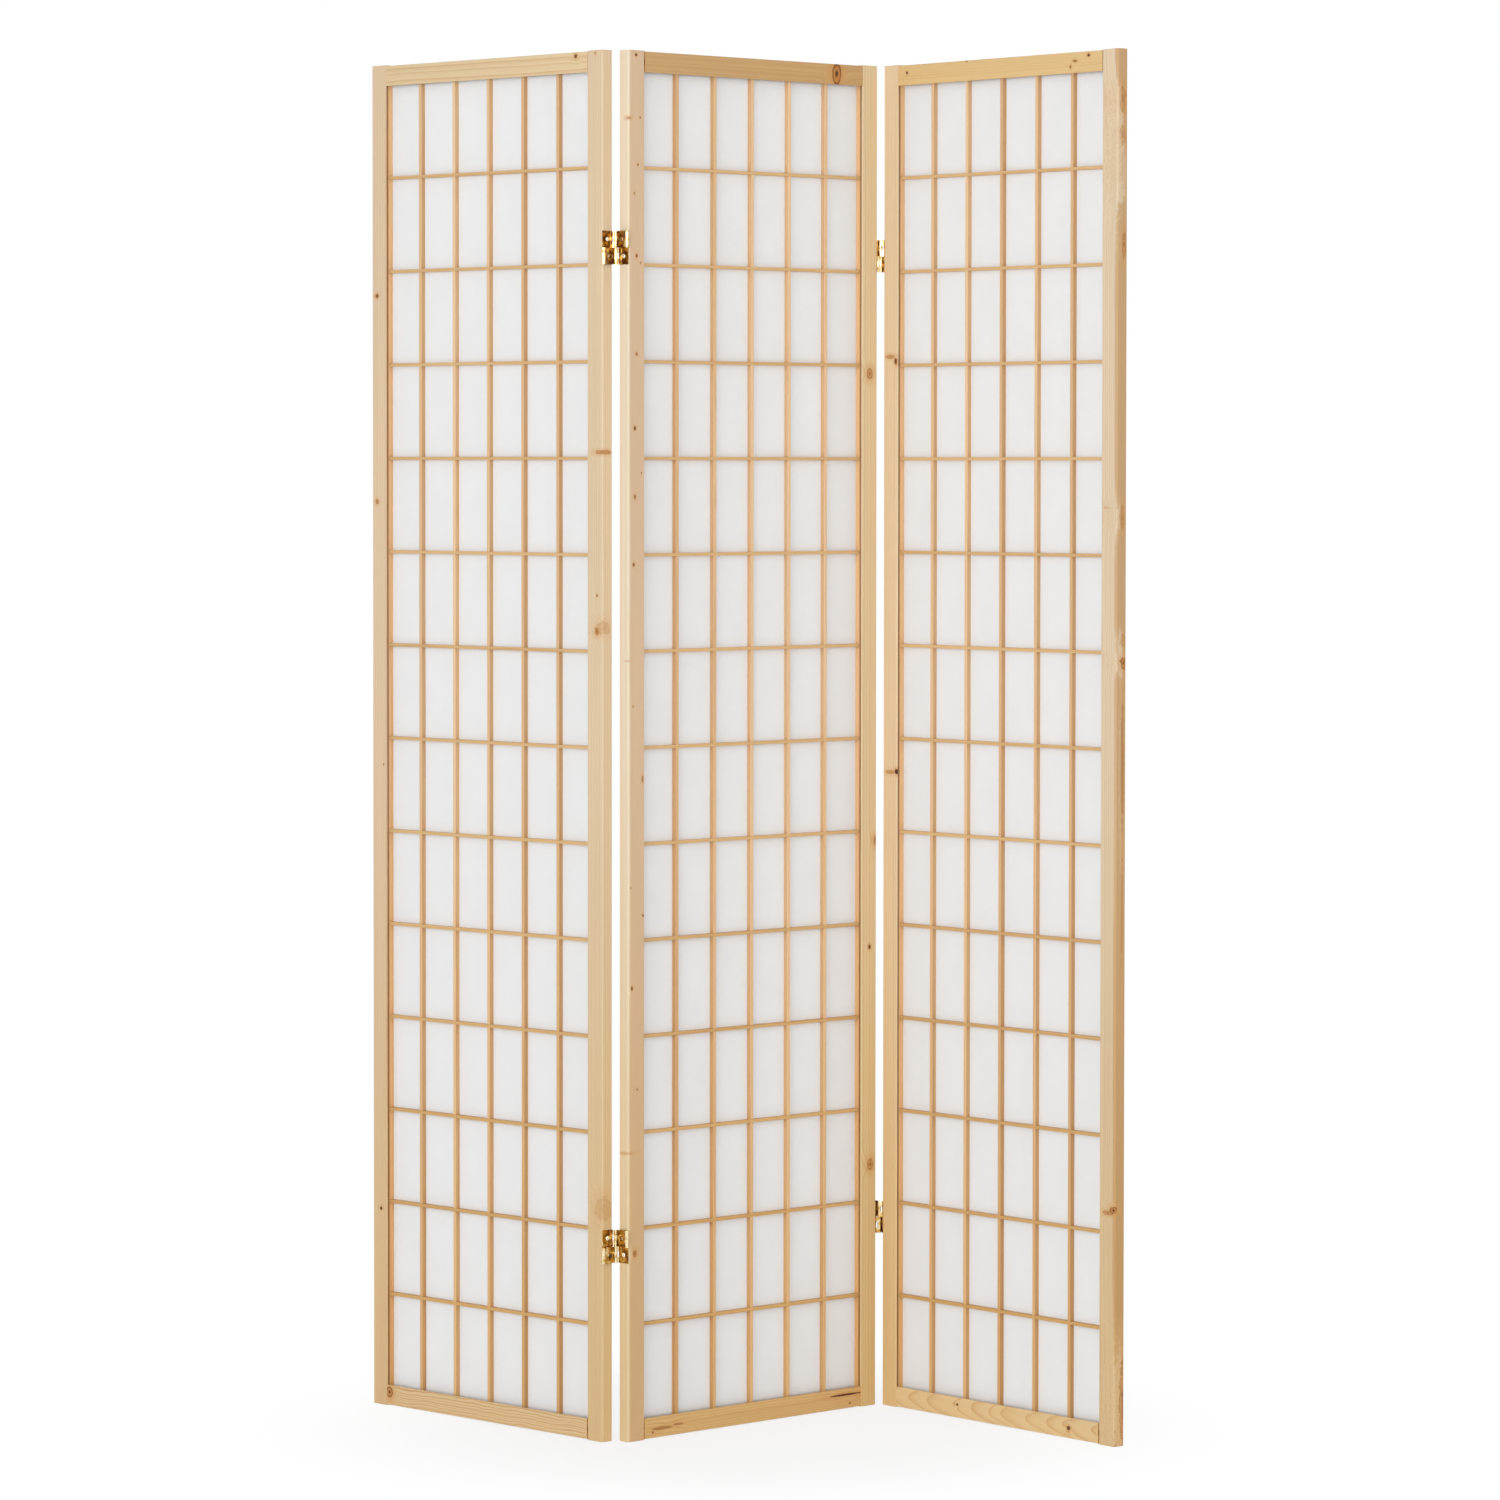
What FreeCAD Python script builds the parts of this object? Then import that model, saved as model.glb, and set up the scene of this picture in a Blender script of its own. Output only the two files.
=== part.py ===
import FreeCAD, Part
import math
import os

# Three-panel folding shoji screen, stored as it stands in use: a zigzag on the
# floor. Each panel is a softwood frame whose grooves hold a lattice of thin
# bars backed by one sheet of paper. Neighbouring panels are joined by two
# crossed-link hinges, which let a pair fold towards either face.
# Millimetres. X runs across the screen, Y into its depth, Z up.

os.makedirs("parts", exist_ok=True)
Vec = FreeCAD.Vector
UP = Vec(0, 0, 1)

# One panel. Its own frame has x across from the left edge, y from the front
# face to the back, z up from the floor.
PANEL_W = 440.0
PANEL_H = 1750.0
PANEL_T = 17.5
STILE_W = 27.3
RAIL_H = 26.0
RAIL_SET_IN = 1.0           # the stile ends stand proud of the rails
OUTER_ROUND = 2.5
ROUND_STEPS = 4
EASE = 0.8                  # small bevel on the other edges

# Groove round the inside of the frame
LIP_T = 2.0
GROOVE_D = 5.2
PAPER_T = 0.4
PAPER_SHORT = 0.3           # the sheet stops short of the bottom of the groove
LATTICE_BACK = 12.0
GROOVE_BACK = LATTICE_BACK + PAPER_T

# Rail tenons in blind mortises
TENON_L = 15.0
TENON_H = 13.0
TENON_T = 7.0
TENON_EASE = 0.1

# Lattice
BAR_W = 4.8
BAR_FRONT = 5.4
SLAT_H = 4.2
SLAT_FRONT = 5.0
LAP_DEPTH = 8.5
COLUMNS = 6
ROWS = 14
BAR_PITCH = 65.6
BORDER_PROUD = 0.2          # border bars stand this far inside the stile faces

# Hinges
HINGE_H = 42.0
HINGE_FROM_END = 247.0
KNUCKLES = 6
KNUCKLE_GAP = 0.15
HALF_GAP = 4.0              # panel edge to pin axis
AXIS_OUT = 1.7              # pin axis beyond the face of the panel
BARREL_R = 2.4
BARREL_STEPS = 12
PIN_R = 1.2
PIN_STEPS = 10
PIN_PLAY = 0.05
PIN_STANDS_OUT = 0.4
LEAF_T = 1.2
LEAF_LET_IN = 0.8
LEAF_MARGIN = 0.3
LEAF_PLAY = 0.2
LINK_T = 1.2
LINK_CLEAR = 0.5

# Screw holes in a leaf, and the holes in a link that a driver reaches them by
SCREW_SPACING = 21.0
SCREW_HOLE_R = 1.7
DRIVER_HOLE_R = 3.4

# Standing position. The middle panel carries the other two, and each of them
# is turned about the pins that its pair is folded on.
MIDDLE_TURN = 43.75
LEFT_TURN = -45.4
RIGHT_TURN = -49.8
MIDDLE_X = -140.79
MIDDLE_Y = -146.91

RAIL_TOP = RAIL_SET_IN + RAIL_H
OPENING_W = PANEL_W - 2 * STILE_W
OPENING_H = PANEL_H - 2 * RAIL_TOP
BORDER_AT = STILE_W + BORDER_PROUD - BAR_W / 2


# ---------------------------------------------------------------- helpers

def box(x0, x1, y0, y1, z0, z1):
    return Part.makeBox(x1 - x0, y1 - y0, z1 - z0, Vec(x0, y0, z0))


def face_of(points):
    corners = [Vec(x, y, 0) for x, y in points]
    return Part.Face(Part.makePolygon(corners + corners[:1]))


def arc_points(cx, cy, radius, start, end, steps):
    """Points along an arc, from angle start to angle end in degrees."""
    angles = [math.radians(start + (end - start) * i / steps) for i in range(steps + 1)]
    return [(cx + radius * math.cos(a), cy + radius * math.sin(a)) for a in angles]


def eased_outline(width, height, radii):
    """Rectangle from (0, 0) to (width, height) with its corners softened: round
    where the radius is large, bevelled where it is small. The radii start at the
    corner (0, 0) and go round anticlockwise."""
    points = []
    for i, (right, top) in enumerate([(False, False), (True, False), (True, True), (False, True)]):
        r = radii[i]
        cx = width - r if right else r
        cy = height - r if top else r
        steps = ROUND_STEPS if r > EASE else 1
        points += arc_points(cx, cy, r, 180 + 90 * i, 270 + 90 * i, steps)
    return face_of(points)


def round_bar(cx, cy, radius, low, high, steps):
    """Slim upright round bar, worked out from a circle in a few flats."""
    outline = face_of(arc_points(cx, cy, radius, 0, 360, steps)[:-1])
    outline.translate(Vec(0, 0, low))
    return outline.extrude(Vec(0, 0, high - low))


def round_hole(cx, cy, radius, low, high, steps):
    """Cutter whose flats lie at the radius, so that a round bar turns inside it."""
    return round_bar(cx, cy, radius / math.cos(math.pi / steps), low, high, steps)


def mirrored_x(shape, x):
    return shape.mirror(Vec(x, 0, 0), Vec(1, 0, 0))


def mirrored_z(shape, z):
    return shape.mirror(Vec(0, 0, z), UP)


# ------------------------------------------------------------- panel frame

def tenon(x0, x1, ease):
    """Tenon of a bottom rail, or with some ease its mortise."""
    z_mid = (RAIL_SET_IN + RAIL_TOP - GROOVE_D) / 2
    y_mid = PANEL_T / 2
    return box(x0, x1, y_mid - TENON_T / 2 - ease, y_mid + TENON_T / 2 + ease,
               z_mid - TENON_H / 2 - ease, z_mid + TENON_H / 2 + ease)


def hinge_heights():
    return [HINGE_FROM_END, PANEL_H - HINGE_FROM_END]


def left_stile(hinged):
    """Left stile; the right one is its mirror image."""
    outline = eased_outline(STILE_W, PANEL_T, [OUTER_ROUND, EASE, EASE, OUTER_ROUND])
    stile = outline.extrude(Vec(0, 0, PANEL_H))
    ends = []
    for edge in stile.Edges:
        heights = [v.Z for v in edge.Vertexes]
        if max(heights) < 0.01 or min(heights) > PANEL_H - 0.01:
            ends.append(edge)
    stile = stile.makeChamfer(EASE, ends)
    low = RAIL_TOP - GROOVE_D
    groove = box(STILE_W - GROOVE_D, STILE_W + 1, LIP_T, GROOVE_BACK, low, PANEL_H - low)
    mortise = tenon(STILE_W - TENON_L - 0.5, STILE_W + 1, TENON_EASE)
    stile = stile.cut([groove, mortise, mirrored_z(mortise, PANEL_H / 2)])
    if hinged:
        half = HINGE_H / 2 + LEAF_PLAY
        for z in hinge_heights():
            stile = stile.cut(box(-1, LEAF_LET_IN, -1, PANEL_T + 1, z - half, z + half))
    return stile


def bottom_rail():
    """Bottom rail between the stiles, its groove on top and a tenon at each end."""
    rail = eased_outline(PANEL_T, RAIL_H, [EASE] * 4).extrude(Vec(0, 0, OPENING_W))
    rail.rotate(Vec(0, 0, 0), Vec(1, 1, 1), 120)
    rail.translate(Vec(STILE_W, 0, RAIL_SET_IN))
    groove = box(0, PANEL_W, LIP_T, GROOVE_BACK, RAIL_TOP - GROOVE_D, RAIL_TOP + 1)
    left_tenon = tenon(STILE_W - TENON_L, STILE_W, 0)
    return rail.cut(groove).fuse([left_tenon, mirrored_x(left_tenon, PANEL_W / 2)])


# ----------------------------------------------------------------- lattice

def bar_centres():
    """The inner upright bars, counted outwards from the middle of the panel."""
    inner = COLUMNS - 1
    return [PANEL_W / 2 + (i - (inner - 1) / 2) * BAR_PITCH for i in range(inner)]


def border_centres():
    return [BORDER_AT, PANEL_W - BORDER_AT]


def slat_centres():
    """The level slats, which leave equal clear rows between the rails."""
    clear = (OPENING_H - (ROWS - 1) * SLAT_H) / ROWS
    return [RAIL_TOP + (i + 1) * clear + (i + 0.5) * SLAT_H for i in range(ROWS - 1)]


def upright(x):
    """Plain upright that runs from groove to groove."""
    low = RAIL_TOP - GROOVE_D
    return box(x - BAR_W / 2, x + BAR_W / 2, BAR_FRONT, LATTICE_BACK, low, PANEL_H - low)


def lapped_bar(x):
    """Inner upright, notched from the front where each slat crosses it."""
    notches = [box(x - BAR_W, x + BAR_W, BAR_FRONT - 1, LAP_DEPTH, z - SLAT_H / 2, z + SLAT_H / 2)
               for z in slat_centres()]
    return upright(x).cut(notches)


def lapped_slat(z):
    """Level slat between the border bars, notched from the back over each bar."""
    end = BORDER_AT + BAR_W / 2
    bar = box(end, PANEL_W - end, SLAT_FRONT, LATTICE_BACK, z - SLAT_H / 2, z + SLAT_H / 2)
    notches = [box(x - BAR_W / 2, x + BAR_W / 2, LAP_DEPTH, LATTICE_BACK + 1, z - SLAT_H, z + SLAT_H)
               for x in bar_centres()]
    return bar.cut(notches)


def paper():
    """One sheet behind the whole lattice, held at its rim by the frame's groove."""
    edge = STILE_W - GROOVE_D + PAPER_SHORT
    low = RAIL_TOP - GROOVE_D + PAPER_SHORT
    return box(edge, PANEL_W - edge, LATTICE_BACK, GROOVE_BACK, low, PANEL_H - low)


# ------------------------------------------------------------------ hinges
# A hinge part's own frame has x = 0 on the edge of its panel and x growing
# into the gap, y from the panel's front face to its back, and z = 0 at half
# the height of the hinge. The leaf drawn here belongs to a panel on the left
# of its hinge: it has the back barrel's knuckles 1 and 3 and the front
# barrel's knuckles 4 and 6, counted from the top. The leaf on the other side
# of the gap is the same piece turned half round, and so is the other link.

def row_span(row):
    """Bottom and top of one knuckle."""
    height = HINGE_H / KNUCKLES
    top = HINGE_H / 2 - (row - 1) * height
    return top - height + KNUCKLE_GAP / 2, top - KNUCKLE_GAP / 2


def upper_half():
    return row_span(3)[0], row_span(1)[1]


def pin_holes():
    end = HINGE_H / 2 + 1
    return [round_hole(HALF_GAP, y, PIN_R + PIN_PLAY, -end, end, PIN_STEPS)
            for y in (-AXIS_OUT, PANEL_T + AXIS_OUT)]


def side_hole(x, radius, z):
    """Cutter along x through a plate at x, half way between the panel's faces."""
    hole = round_hole(0, 0, radius, -LEAF_T * 2, LEAF_T * 2, PIN_STEPS)
    hole.rotate(Vec(0, 0, 0), Vec(0, 1, 0), 90)
    hole.translate(Vec(x, PANEL_T / 2, z))
    return hole


def tangent_angle(px, py, cx, cy, radius, side):
    """Angle, seen from the centre of a circle, at which a line from (px, py)
    touches it; side is 1 or -1."""
    reach = math.hypot(px - cx, py - cy)
    towards = math.atan2(py - cy, px - cx)
    return math.degrees(towards + side * math.acos(radius / reach))


def knuckle(row, back):
    """Leaf knuckle: a barrel on an arm that sweeps out from the edge of the plate."""
    low, high = row_span(row)
    cx, cy = HALF_GAP, PANEL_T + AXIS_OUT
    root_back = (-LEAF_LET_IN, PANEL_T + 0.9)
    root_front = (LEAF_T - LEAF_LET_IN, PANEL_T - 0.7)
    first = tangent_angle(*root_back, cx, cy, BARREL_R, -1)
    last = tangent_angle(*root_front, cx, cy, BARREL_R, 1) - 360
    sweep = arc_points(cx, cy, BARREL_R, first, last, BARREL_STEPS - 4)
    plate_end = [(LEAF_T - LEAF_LET_IN, PANEL_T - 3), (-LEAF_LET_IN, PANEL_T - 3)]
    outline = face_of([root_back] + sweep + [root_front] + plate_end)
    outline.translate(Vec(0, 0, low))
    piece = outline.extrude(Vec(0, 0, high - low))
    return piece if back else piece.mirror(Vec(0, PANEL_T / 2, 0), Vec(0, 1, 0))


def leaf():
    """Plate on the panel edge with its four knuckles and two screw holes."""
    plate = box(-LEAF_LET_IN, LEAF_T - LEAF_LET_IN, LEAF_MARGIN, PANEL_T - LEAF_MARGIN,
                -HINGE_H / 2, HINGE_H / 2)
    knuckles = [knuckle(1, True), knuckle(3, True), knuckle(4, False), knuckle(6, False)]
    holes = pin_holes() + [side_hole(0, SCREW_HOLE_R, z) for z in (-SCREW_SPACING / 2, SCREW_SPACING / 2)]
    return plate.fuse(knuckles).removeSplitter().cut(holes)


def upper_link():
    """Link across the upper half of a hinge, from back barrel to front barrel."""
    low, high = upper_half()
    clear = BARREL_R + LINK_CLEAR - AXIS_OUT
    x0, x1 = HALF_GAP - LINK_T / 2, HALF_GAP + LINK_T / 2
    plate = box(x0, x1, clear, PANEL_T - clear, low, high)
    low, high = row_span(2)
    tongue = box(x0, x1, -AXIS_OUT, PANEL_T + AXIS_OUT, low, high)
    barrels = [round_bar(HALF_GAP, y, BARREL_R, low, high, BARREL_STEPS)
               for y in (-AXIS_OUT, PANEL_T + AXIS_OUT)]
    driver_hole = side_hole(HALF_GAP, DRIVER_HOLE_R, SCREW_SPACING / 2)
    return plate.fuse([tongue] + barrels).removeSplitter().cut(pin_holes() + [driver_hole])


def upper_pin(back):
    """Pin through three knuckles, its end standing out at the top of the hinge."""
    y = PANEL_T + AXIS_OUT if back else -AXIS_OUT
    low, high = upper_half()
    return round_bar(HALF_GAP, y, PIN_R, low, high + PIN_STANDS_OUT, PIN_STEPS)


def half_turn(shape):
    """The same piece on the far side of the gap."""
    turned = shape.copy()
    turned.rotate(Vec(HALF_GAP, PANEL_T / 2, 0), UP, 180)
    return turned


def flipped(shape):
    """The same piece in the other half of the hinge."""
    turned = shape.copy()
    turned.rotate(Vec(HALF_GAP, PANEL_T / 2, 0), Vec(0, 1, 0), 180)
    return turned


# --------------------------------------------------------------- placement
# The left panel turns about the back barrels of its hinges, the right panel
# about the front barrels of its own, so the two fold to opposite faces.

class Panel:
    """Where a panel stands: the place of its front left edge, and its turn."""

    def __init__(self, x, y, turn):
        self.origin = Vec(x, y, 0)
        self.turn = turn

    def place(self, shape, dx=0.0, dz=0.0):
        moved = shape.copy()
        moved.translate(Vec(dx, 0, dz))
        moved.rotate(Vec(0, 0, 0), UP, self.turn)
        moved.translate(self.origin)
        return moved

    def point(self, x, y):
        local = FreeCAD.Rotation(UP, self.turn).multVec(Vec(x, y, 0))
        return local.add(self.origin)


def hung_on(pivot, x, y, turn):
    """Panel whose own point (x, y) lies on a pivot that is already placed."""
    offset = FreeCAD.Rotation(UP, turn).multVec(Vec(x, y, 0))
    return Panel(pivot.x - offset.x, pivot.y - offset.y, turn)


middle = Panel(MIDDLE_X, MIDDLE_Y, MIDDLE_TURN)
left_pivot = middle.point(-HALF_GAP, PANEL_T + AXIS_OUT)
right_pivot = middle.point(PANEL_W + HALF_GAP, -AXIS_OUT)
left = hung_on(left_pivot, PANEL_W + HALF_GAP, PANEL_T + AXIS_OUT, LEFT_TURN)
right = hung_on(right_pivot, -HALF_GAP, -AXIS_OUT, RIGHT_TURN)
panels = {"left": left, "middle": middle, "right": right}
hinged_sides = {"left": "right", "middle": "both", "right": "left"}

nodes = {}


def add(name, *shapes):
    nodes.setdefault(name, []).extend(shapes)


plain_stile = left_stile(False)
hinged_stile = left_stile(True)
rail = bottom_rail()
bars = [lapped_bar(x) for x in bar_centres()]
borders = [upright(x) for x in border_centres()]
slats = [lapped_slat(z) for z in slat_centres()]
sheet = paper()

for name, panel in panels.items():
    sides = hinged_sides[name]
    left_piece = hinged_stile if sides in ("left", "both") else plain_stile
    right_piece = hinged_stile if sides in ("right", "both") else plain_stile
    add(name + "_stile_left", panel.place(left_piece))
    add(name + "_stile_right", panel.place(mirrored_x(right_piece, PANEL_W / 2)))
    add(name + "_rail_bottom", panel.place(rail))
    add(name + "_rail_top", panel.place(mirrored_z(rail, PANEL_H / 2)))
    add(name + "_lattice_bars", *[panel.place(b) for b in bars])
    add(name + "_lattice_borders", *[panel.place(b) for b in borders])
    add(name + "_lattice_slats", *[panel.place(s) for s in slats])
    add(name + "_paper", panel.place(sheet))

# Parts of one hinge, drawn on the panel to the left of the gap. Turned half
# round, a part belongs to the panel on the right of the gap, whose own frame
# starts at the far side of it.
leaf_shape = leaf()
link_shape = upper_link()
far_leaf = half_turn(leaf_shape)
lower_link = flipped(link_shape)
back_pin = upper_pin(True)
front_pin = upper_pin(False)
low_back_pin = flipped(back_pin)
low_front_pin = flipped(front_pin)
GAP = 2 * HALF_GAP

for joint, near, far in (("left", "left", "middle"), ("right", "middle", "right")):
    near_panel = panels[near]
    far_panel = panels[far]
    for level, z in zip(("lower", "upper"), hinge_heights()):
        hinge = joint + "_hinge_" + level
        add(hinge + "_leaf_near", near_panel.place(leaf_shape, PANEL_W, z))
        add(hinge + "_leaf_far", far_panel.place(far_leaf, -GAP, z))
        # The link of the upper half lies on the far panel in the left joint
        # and on the near one in the right joint; the lower half is the reverse.
        if joint == "left":
            add(hinge + "_link_a", far_panel.place(link_shape, -GAP, z))
            add(hinge + "_link_b", near_panel.place(lower_link, PANEL_W, z))
            add("middle_hinge_pins", far_panel.place(back_pin, -GAP, z), far_panel.place(front_pin, -GAP, z),
                far_panel.place(low_back_pin, -GAP, z))
            add("left_hinge_pins", near_panel.place(low_front_pin, PANEL_W, z))
        else:
            add(hinge + "_link_a", near_panel.place(link_shape, PANEL_W, z))
            add(hinge + "_link_b", far_panel.place(lower_link, -GAP, z))
            add("middle_hinge_pins", near_panel.place(back_pin, PANEL_W, z), near_panel.place(front_pin, PANEL_W, z),
                near_panel.place(low_front_pin, PANEL_W, z))
            add("right_hinge_pins", far_panel.place(low_back_pin, -GAP, z))

for name, shapes in nodes.items():
    shape = shapes[0] if len(shapes) == 1 else Part.makeCompound(shapes)
    shape.exportStep("parts/" + name + ".step")
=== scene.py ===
# %% [markdown]
# # A shoji folding screen
# Three panels of pale pine stand in a zigzag. Each is a slim frame round a
# lattice of thin bars, with white paper behind it, and brass two-way hinges
# join the panels. The measured solids come in as a fixed frame, and every
# piece made below is laid exactly over them, then given its finish.

# %% Load the fixed frame
import math
import random

import bmesh
import bpy
from mathutils import Matrix, Vector


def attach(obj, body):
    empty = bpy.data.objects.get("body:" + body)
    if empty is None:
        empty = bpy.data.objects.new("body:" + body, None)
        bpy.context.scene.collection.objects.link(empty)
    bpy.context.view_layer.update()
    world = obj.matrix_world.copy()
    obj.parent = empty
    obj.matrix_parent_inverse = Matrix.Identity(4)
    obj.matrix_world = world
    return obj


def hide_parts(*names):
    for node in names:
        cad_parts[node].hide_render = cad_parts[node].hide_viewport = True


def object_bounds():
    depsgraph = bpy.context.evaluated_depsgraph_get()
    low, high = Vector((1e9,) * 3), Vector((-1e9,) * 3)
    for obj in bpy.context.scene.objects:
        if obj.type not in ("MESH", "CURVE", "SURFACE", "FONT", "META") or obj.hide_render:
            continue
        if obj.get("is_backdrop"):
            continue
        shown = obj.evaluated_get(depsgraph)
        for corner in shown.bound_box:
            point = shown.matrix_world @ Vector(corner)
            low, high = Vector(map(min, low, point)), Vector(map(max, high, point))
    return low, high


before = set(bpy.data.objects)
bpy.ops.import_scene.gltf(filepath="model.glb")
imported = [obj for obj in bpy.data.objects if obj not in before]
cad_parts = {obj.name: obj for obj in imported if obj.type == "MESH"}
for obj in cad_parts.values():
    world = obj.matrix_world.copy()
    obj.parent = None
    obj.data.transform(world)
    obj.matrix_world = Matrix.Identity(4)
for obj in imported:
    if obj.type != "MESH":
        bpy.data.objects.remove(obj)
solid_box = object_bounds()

print("nodes:", len(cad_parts))

# %% [markdown]
# ## Sizes
# A joiner works in millimetres and Blender in metres, so each size is written
# in millimetres times MM. A panel has its own frame: x across from its left
# edge, y from the front face to the back, z up from the floor. Three
# matrices place the panels, each hung on the pins that its pair folds about.

# %% The panel and its three places
MM = 0.001
PANEL_W, PANEL_H, PANEL_T = 440 * MM, 1750 * MM, 17.5 * MM
HALF_GAP = 4 * MM            # panel edge to pin axis
AXIS_OUT = 1.7 * MM          # pin axis beyond the face of the panel
MID_T = PANEL_T / 2


def turned(degrees):
    return Matrix.Rotation(math.radians(degrees), 4, "Z")


def hung_on(pivot, x, y, degrees):
    """Place of a panel whose own point (x, y) lies on a pivot."""
    turn = turned(degrees)
    return Matrix.Translation(pivot - turn @ Vector((x, y, 0))) @ turn


middle = Matrix.Translation((-140.79 * MM, -146.91 * MM, 0)) @ turned(43.75)
left_pivot = middle @ Vector((-HALF_GAP, PANEL_T + AXIS_OUT, 0))
right_pivot = middle @ Vector((PANEL_W + HALF_GAP, -AXIS_OUT, 0))
PLACES = {
    "left": hung_on(left_pivot, PANEL_W + HALF_GAP, PANEL_T + AXIS_OUT, -45.4),
    "middle": middle,
    "right": hung_on(right_pivot, -HALF_GAP, -AXIS_OUT, -49.8),
}
BODY_OF = {side: side + "_panel" for side in PLACES}
HINGED_SIDES = {"left": ("right",), "middle": ("left", "right"), "right": ("left",)}
print("right panel starts at", [round(v, 4) for v in PLACES["right"].translation])

# %% [markdown]
# ## Camera
# The photograph was taken with a long lens from about seven and a half metres,
# at chest height, and looks almost level. A little lens shift and a small
# downward tilt share the framing, so that other views stay in the picture.

# %% Camera
EYE = Vector((22.6, -7541.6, 1230.3)) * MM
LENS = 141.58                # millimetres on a sensor 36 mm wide
TILT_DOWN = 1.96             # degrees
YAW = 0.084
ROLL = 0.047
SHIFT_UP = -0.055

camera_data = bpy.data.cameras.new("photo_camera")
camera_data.lens = LENS
camera_data.sensor_width = 36
camera_data.shift_y = SHIFT_UP
camera_data.clip_end = 100
camera = bpy.data.objects.new("photo_camera", camera_data)
bpy.context.scene.collection.objects.link(camera)
level_view = Matrix.Rotation(math.radians(90 - TILT_DOWN), 4, "X")
camera.matrix_world = (Matrix.Translation(EYE) @ turned(YAW) @ level_view
                       @ Matrix.Rotation(math.radians(ROLL), 4, "Z"))
bpy.context.scene.camera = camera
bpy.context.scene.view_settings.view_transform = "Standard"
print("camera distance", round(EYE.length, 2), "m")

# %% [markdown]
# ## Building nodes in code
# A material is a small tree. These helpers add a node, feed its inputs with
# a value or another node's output, and return the output, so that a formula
# reads from left to right.

# %% Node helpers: sums and colours
WHITE = (1.0, 1.0, 1.0, 1.0)


def put(tree, kind, feeds=(), **settings):
    """New node. feeds pairs an input's name or number with a value or a socket."""
    made = tree.nodes.new(kind)
    for key, value in settings.items():
        setattr(made, key, value)
    for key, value in dict(feeds).items():
        if isinstance(value, bpy.types.NodeSocket):
            tree.links.new(value, made.inputs[key])
        else:
            made.inputs[key].default_value = value
    return made


def calc(tree, operation, *values):
    """Arithmetic on numbers."""
    return put(tree, "ShaderNodeMath", enumerate(values), operation=operation).outputs[0]


def product(tree, first, *others):
    """Numbers multiplied one after another."""
    for other in others:
        first = calc(tree, "MULTIPLY", first, other)
    return first


def vector_calc(tree, operation, *values):
    """Arithmetic on vectors; a length comes out as a number."""
    made = put(tree, "ShaderNodeVectorMath", enumerate(values), operation=operation)
    return made.outputs["Value" if operation == "LENGTH" else "Vector"]


def split(tree, vector):
    """The three numbers of a vector."""
    return put(tree, "ShaderNodeSeparateXYZ", {0: vector}).outputs


def blended(tree, factor, first, second, how="MIX"):
    """Colour between two colours."""
    made = put(tree, "ShaderNodeMix", {0: factor, 6: first, 7: second},
               data_type="RGBA", blend_type=how)
    return made.outputs[2]


def tinted(tree, colour_in, tint):
    """Colour multiplied by a colour."""
    return blended(tree, 1.0, colour_in, tint, "MULTIPLY")


def colour(red, green, blue):
    """Colour as a paint chart gives it, 0 to 255, made linear for the shader."""
    linear = [c / 12.92 if c <= 0.04045 else ((c + 0.055) / 1.055) ** 2.4
              for c in (red / 255, green / 255, blue / 255)]
    return (*linear, 1.0)


print("white is", colour(255, 255, 255))

# %% [markdown]
# The next helpers draw curves and noise, and make groups and materials.

# %% Node helpers: patterns, groups and materials


def stepped(tree, value, low, high):
    """Smooth step from 0 at low to 1 at high; high may be the smaller."""
    made = put(tree, "ShaderNodeMapRange", {0: value, 1: low, 2: high},
               interpolation_type="SMOOTHSTEP")
    return made.outputs[0]


def noise(tree, vector, scale, detail=2.0):
    """Noise from 0 to 1, with its own number of features per metre on each axis."""
    fine = vector_calc(tree, "MULTIPLY", vector, scale)
    made = put(tree, "ShaderNodeTexNoise", {"Vector": fine, "Scale": 1.0, "Detail": detail})
    return made.outputs[0]


def ramp(tree, factor, stops):
    """Curve through (position, height) stops."""
    made = put(tree, "ShaderNodeValToRGB", {0: factor})
    elements = made.color_ramp.elements
    while len(elements) < len(stops):
        elements.new(1.0)
    for element, (position, height) in zip(elements, stops):
        element.position = position
        element.color = (height, height, height, 1)
    return made.outputs[0]


def bumped(tree, height, depth, strength):
    return put(tree, "ShaderNodeBump", {"Height": height, "Distance": depth,
                                        "Strength": strength}).outputs[0]


def new_group(name, inputs, outputs):
    """Shader group with named sockets. Returns its tree, inputs and output node."""
    tree = bpy.data.node_groups.new(name, "ShaderNodeTree")
    for way, sockets in (("INPUT", inputs), ("OUTPUT", outputs)):
        for label, kind in sockets.items():
            tree.interface.new_socket(label, in_out=way, socket_type="NodeSocket" + kind)
    return tree, put(tree, "NodeGroupInput").outputs, put(tree, "NodeGroupOutput")


def give_out(tree, group_output, **results):
    """Links results to the outputs of a group."""
    for label, socket in results.items():
        tree.links.new(socket, group_output.inputs[label])


def use_group(tree, group, feeds):
    return put(tree, "ShaderNodeGroup", feeds, node_tree=group).outputs


def new_material(name):
    """Material with an empty tree, and the tree."""
    material = bpy.data.materials.new(name)
    material.use_nodes = True
    material.node_tree.nodes.clear()
    return material, material.node_tree


def object_place(tree):
    return put(tree, "ShaderNodeTexCoord").outputs["Object"]


def surface(tree, shader):
    put(tree, "ShaderNodeOutputMaterial", {0: shader.outputs[0]})


print("node helpers ready")

# %% [markdown]
# ## Pine
# Softwood is a stack of yearly rings round the pith: each ring starts pale
# and ends in a thin darker line. A plank cut from the log shows those rings
# as stripes on one face and as flames on the other. So the grain is solid
# here: its coordinates run across, into and along the stick, and the rings
# are circles round the pith. Every stick keeps its own pith in a mesh
# attribute, so that no two of them look alike.

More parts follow.
